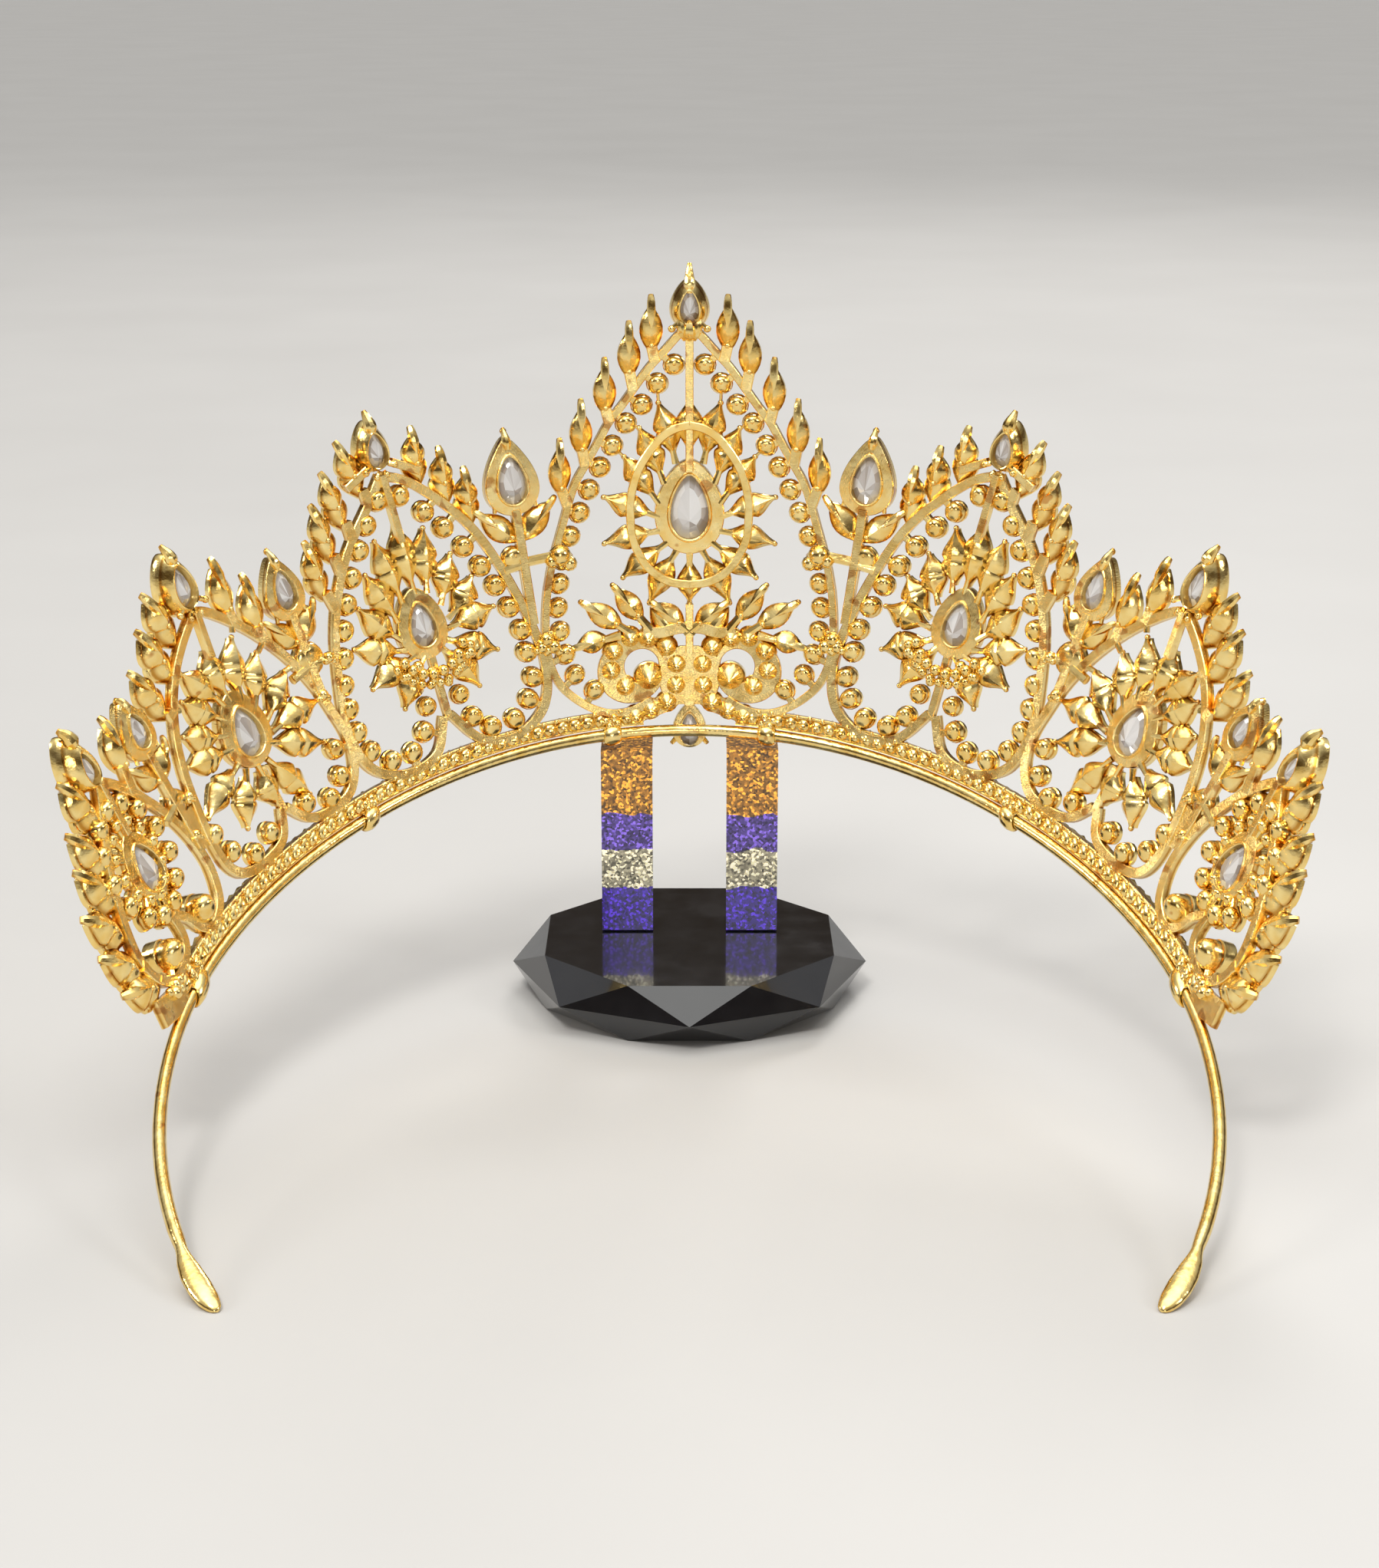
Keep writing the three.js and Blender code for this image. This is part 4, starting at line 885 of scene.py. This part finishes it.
for finial in finials:
    low = finial["y"] - finial["height"] / 2
    shapes = bezel({"draw": 0.62, **finial}, 0.8, PLATE, FILED)
    shapes.append(knob(0, finial["spike"] - 0.5, 0.3, 0.55))
    shapes.append(strip(smooth([(0, low + 0.9), (0, finial["foot"])]), width=1.5, back=-1.1,
                        front=0.8))
    x, y, radius = finial["cup"]
    shapes += dome(x, y, radius, 1.2, nub=0.2, corners=20)
    for hand in (1, -1):
        tip = np.array(finial["leaf"]) * (hand, 1)
        shapes += leaf((hand * 0.1, low - 4.6), tip, width=4.1, prong=1.4, depth=1.2)
        x, y = hand * 0.36 * finial["width"], low + 0.17 * finial["height"]
        shapes.append(rod([(x, y, -0.4), (1.04 * x, y - 1.2, -0.3)], 0.36))
    for start, end in finial["bars"]:
        shapes.append(rod(smooth([(*start, -0.3), (*end, -0.3)], 0.8), 0.85))
    for x, y, radius in finial["solder"]:
        shapes += [knob(x, y, -0.8, radius),
                   knob(x + 0.7 * radius, y - 0.8 * radius, -0.7, 0.7 * radius),
                   knob(x - 0.8 * radius, y - 0.4 * radius, -0.9, 0.6 * radius)]
    cast_pair(f"finial_{finial['name']}", shapes, finial["azimuth"])


# At each end the rail stops in a plain plate with lumps of solder, and tabs folded round the wire
# hold the crown on it: six of them, with rounded edges. A web of plate ties the last two frames.
plate = [strip(smooth([(-9, 1.9), (-13, 2.7), (-17.2, 4.2)]), width=4, back=-0.6, front=0.6),
         strip(smooth([(13.4, 19.8), (13.6, 16), (13.7, 13)]), width=2.6, back=-0.5, front=0.5)]
for x, y, radius in ((-10.6, 4.2, 0.9), (-11.8, 3.6, 1.1), (-12.9, 4.6, 0.7), (-10, 3, 0.7),
                     (-9.2, 4, 0.8)):
    plate.append(knob(x, y, -0.8, radius))

tabs = []
tab_share = np.array([-1, 1, 1.04, 0.8, 0.4, 0, -0.4, -0.8, -1.04])
tab_radius = np.array([1.12, 1.12, 1.35, 1.62, 1.78, 1.85, 1.78, 1.62, 1.35])
turn = around(20)[:, None]
for azimuth, width in ((9.8, 2.8), (44.6, 2.8), (81.5, 4.2)):
    middle = -math.radians(azimuth) * BAND_RADIUS
    along = middle + tab_share * width / 2 + 0 * turn
    rings = np.stack([along, tab_radius * np.sin(turn), tab_radius * np.cos(turn)], -1)
    tabs += [skin(rings, hollow=True),
             strip(smooth([(middle, 1.3), (middle, 2.6)]), width=0.7 * width, back=-0.9,
                   front=0.9)]
    for x, y in ((-0.4, 2.5), (0.3, 1.9), (0.1, 2.9), (-0.2, 1.6)):
        tabs.append(knob(middle + x * width, y, -0.6, 0.7))
for side, mirrored in SIDES:
    cast(f"rail_end_{side}", plate, -76.9, mirrored)
    cast(f"tabs_{side}", tabs, 0, mirrored)


# The stones are pear-cut, one in each open-backed setting. From behind they show a bevelled edge
# and a long inner facet, with a fan of small triangular facets at its lower end.
def stone(node, form, azimuth=0, mirrored=False):
    """A pear stone: rings of facets from its flat front over the girdle to the edge of the inner
    facet, which then rises a little to a point near its lower end."""
    width, height, *rest = form["stone"]
    x, y, level = form.get("x", 0.0), rest[0] if rest else form["y"], form.get("level", 0.0)
    turns = around(12)
    rings = []
    for share, depth in ((0.6, 1.7), (1.0, 0.75), (1.0, -0.2), (0.62, -1.25)):
        outline = share * pear(width, height, turns)
        rings.append(np.concatenate([outline, np.full((12, 1), depth)], 1))
    point = rings[-1] * (0.06, 0.06, 0) - (0, 0.19 * height, 1.6)
    rings = np.array(rings + [point]) + (x, y, level)
    join(node + "_cut", [skin(rings, STONE)], azimuth, mirrored, [node], sharp=4)


for name, form in (("top", front_top), ("medal", front_medal), ("drop", front_drop)):
    stone(f"stone_front_{name}", form)
for side, mirrored in SIDES:
    for panel, azimuth, top, medal in (("middle", -29.6, middle_top, middle_medal),
                                       ("outer", -54.9, outer_top, outer_medal),
                                       ("end", -76.9, end_top, end_medal)):
        stone(f"stone_{panel}_top_{side}", top, azimuth, mirrored)
        stone(f"stone_{panel}_medal_{side}", medal, azimuth, mirrored)
    for finial in finials:
        stone(f"stone_finial_{finial['name']}_{side}", finial, -finial["azimuth"], mirrored)


# The headband is one gilt wire, drawn round and bright. Each end is pinched and then hammered flat
# into a small oval paddle.
half = math.radians(130.4) * BAND_RADIUS
distance = np.concatenate([np.linspace(-half, -half + 15, 40),
                           np.linspace(-half + 16, half - 16, 220),
                           np.linspace(half - 15, half, 40)])
from_end = half - np.abs(distance)
stops = [0, 0.25, 1.2, 3, 5.5, 8, 9.8, 11, 12.5, 14]
half_width = np.interp(from_end, stops, [0.2, 0.75, 1.35, 1.7, 1.75, 1.45, 1.0, 0.82, 0.92, 1.0])
half_thick = np.interp(from_end, stops, [0.15, 0.4, 0.6, 0.72, 0.75, 0.75, 0.82, 0.84, 0.95, 1.0])
turn = around(16)
flat = half_width[:, None] * np.cos(turn)
thick = half_thick[:, None] * np.sin(turn)
sin, cos = math.sin(math.radians(30)), math.cos(math.radians(30))
rings = np.stack([np.broadcast_to(distance[:, None], flat.shape),
                  flat * sin + thick * cos, flat * cos - thick * sin], -1)
join("wire", [skin(rings, lie=rings - (0, 0, 3))], 0, False, ["headband_wire"],
     sharp=60)


# The stand's base is a block of glossy black acrylic, cut in triangular facets. It is polished
# after the cutting, which leaves its crisp edges slightly rounded.
def finish_node(name, material, width, segments):
    """Gives a part of the model its material and slightly rounded edges."""
    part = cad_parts[name]
    part.data.materials.clear()
    part.data.materials.append(material)
    bevel = part.modifiers.new("edges", "BEVEL")
    bevel.width, bevel.segments, bevel.limit_method = width, segments, "ANGLE"


acrylic, tree, shader, place = new_material("black_acrylic")
polish = noise(tree, place, scale=160, detail=5)
haze = spread(tree, polish, 0.35, 0.65, to_low=0.08, to_high=0.18)
black = ramp(tree, polish, (0, (0.003, 0.003, 0.004)), (1, (0.012, 0.012, 0.014)))
feed(tree, shader, Base_Color=black, Roughness=haze, Coat_Weight=0.6, Coat_Roughness=0.04)
finish_node("stand_base", acrylic, 0.0003, 2)


# The two posts are clear resin cast over glitter in four layers: blue below, then silver, violet
# and gold. Each layer settled unevenly, so the borders between them wander.
glitter, tree, shader, place = new_material("layered_glitter")
unrest = spread(tree, noise(tree, place, scale=260, detail=4), 0, 1, to_low=-0.0016,
                to_high=0.0016)
height = tree.nodes.new("ShaderNodeMath")
tree.links.new(add(tree, "SeparateXYZ", Vector=place).outputs["Z"], height.inputs[0])
tree.links.new(unrest, height.inputs[1])
lowest, highest = 0.0095, 0.0417
blue, silver = (0.05, 0.015, 0.42), (0.62, 0.57, 0.4)
violet, amber = (0.12, 0.07, 0.42), (0.6, 0.26, 0.03)
bands = ramp(tree, spread(tree, height.outputs["Value"], lowest, highest),
             (0, blue), (0.245, silver), (0.45, violet), (0.645, amber))
bands.node.color_ramp.interpolation = "CONSTANT"
flakes = add(tree, "TexVoronoi", Vector=place, Scale=2500)
each = add(tree, "SeparateColor", Color=flakes.outputs["Color"])
# Each flake's tone differs at random; the part of it above white is painted glint.
painted_glint = ramp(tree, each.outputs["Red"], (0, (0.12, 0.12, 0.12)), (0.7, (1, 1, 1)),
             (0.93, (3.2, 3.2, 3.0)))
tilted = add(tree, "Bump", Height=each.outputs["Green"], Distance=0.0003)
feed(tree, shader, Base_Color=multiply(tree, bands, painted_glint), Metallic=0.35, Roughness=0.35,
     Coat_Weight=1, Coat_Roughness=0.05, Normal=tilted.outputs["Normal"])
for side in ("left", "right"):
    finish_node(f"stand_post_{side}", glitter, 0.0005, 3)

size = {"cad": [list(cad_low), list(cad_high)], "visual": [list(c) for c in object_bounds()]}
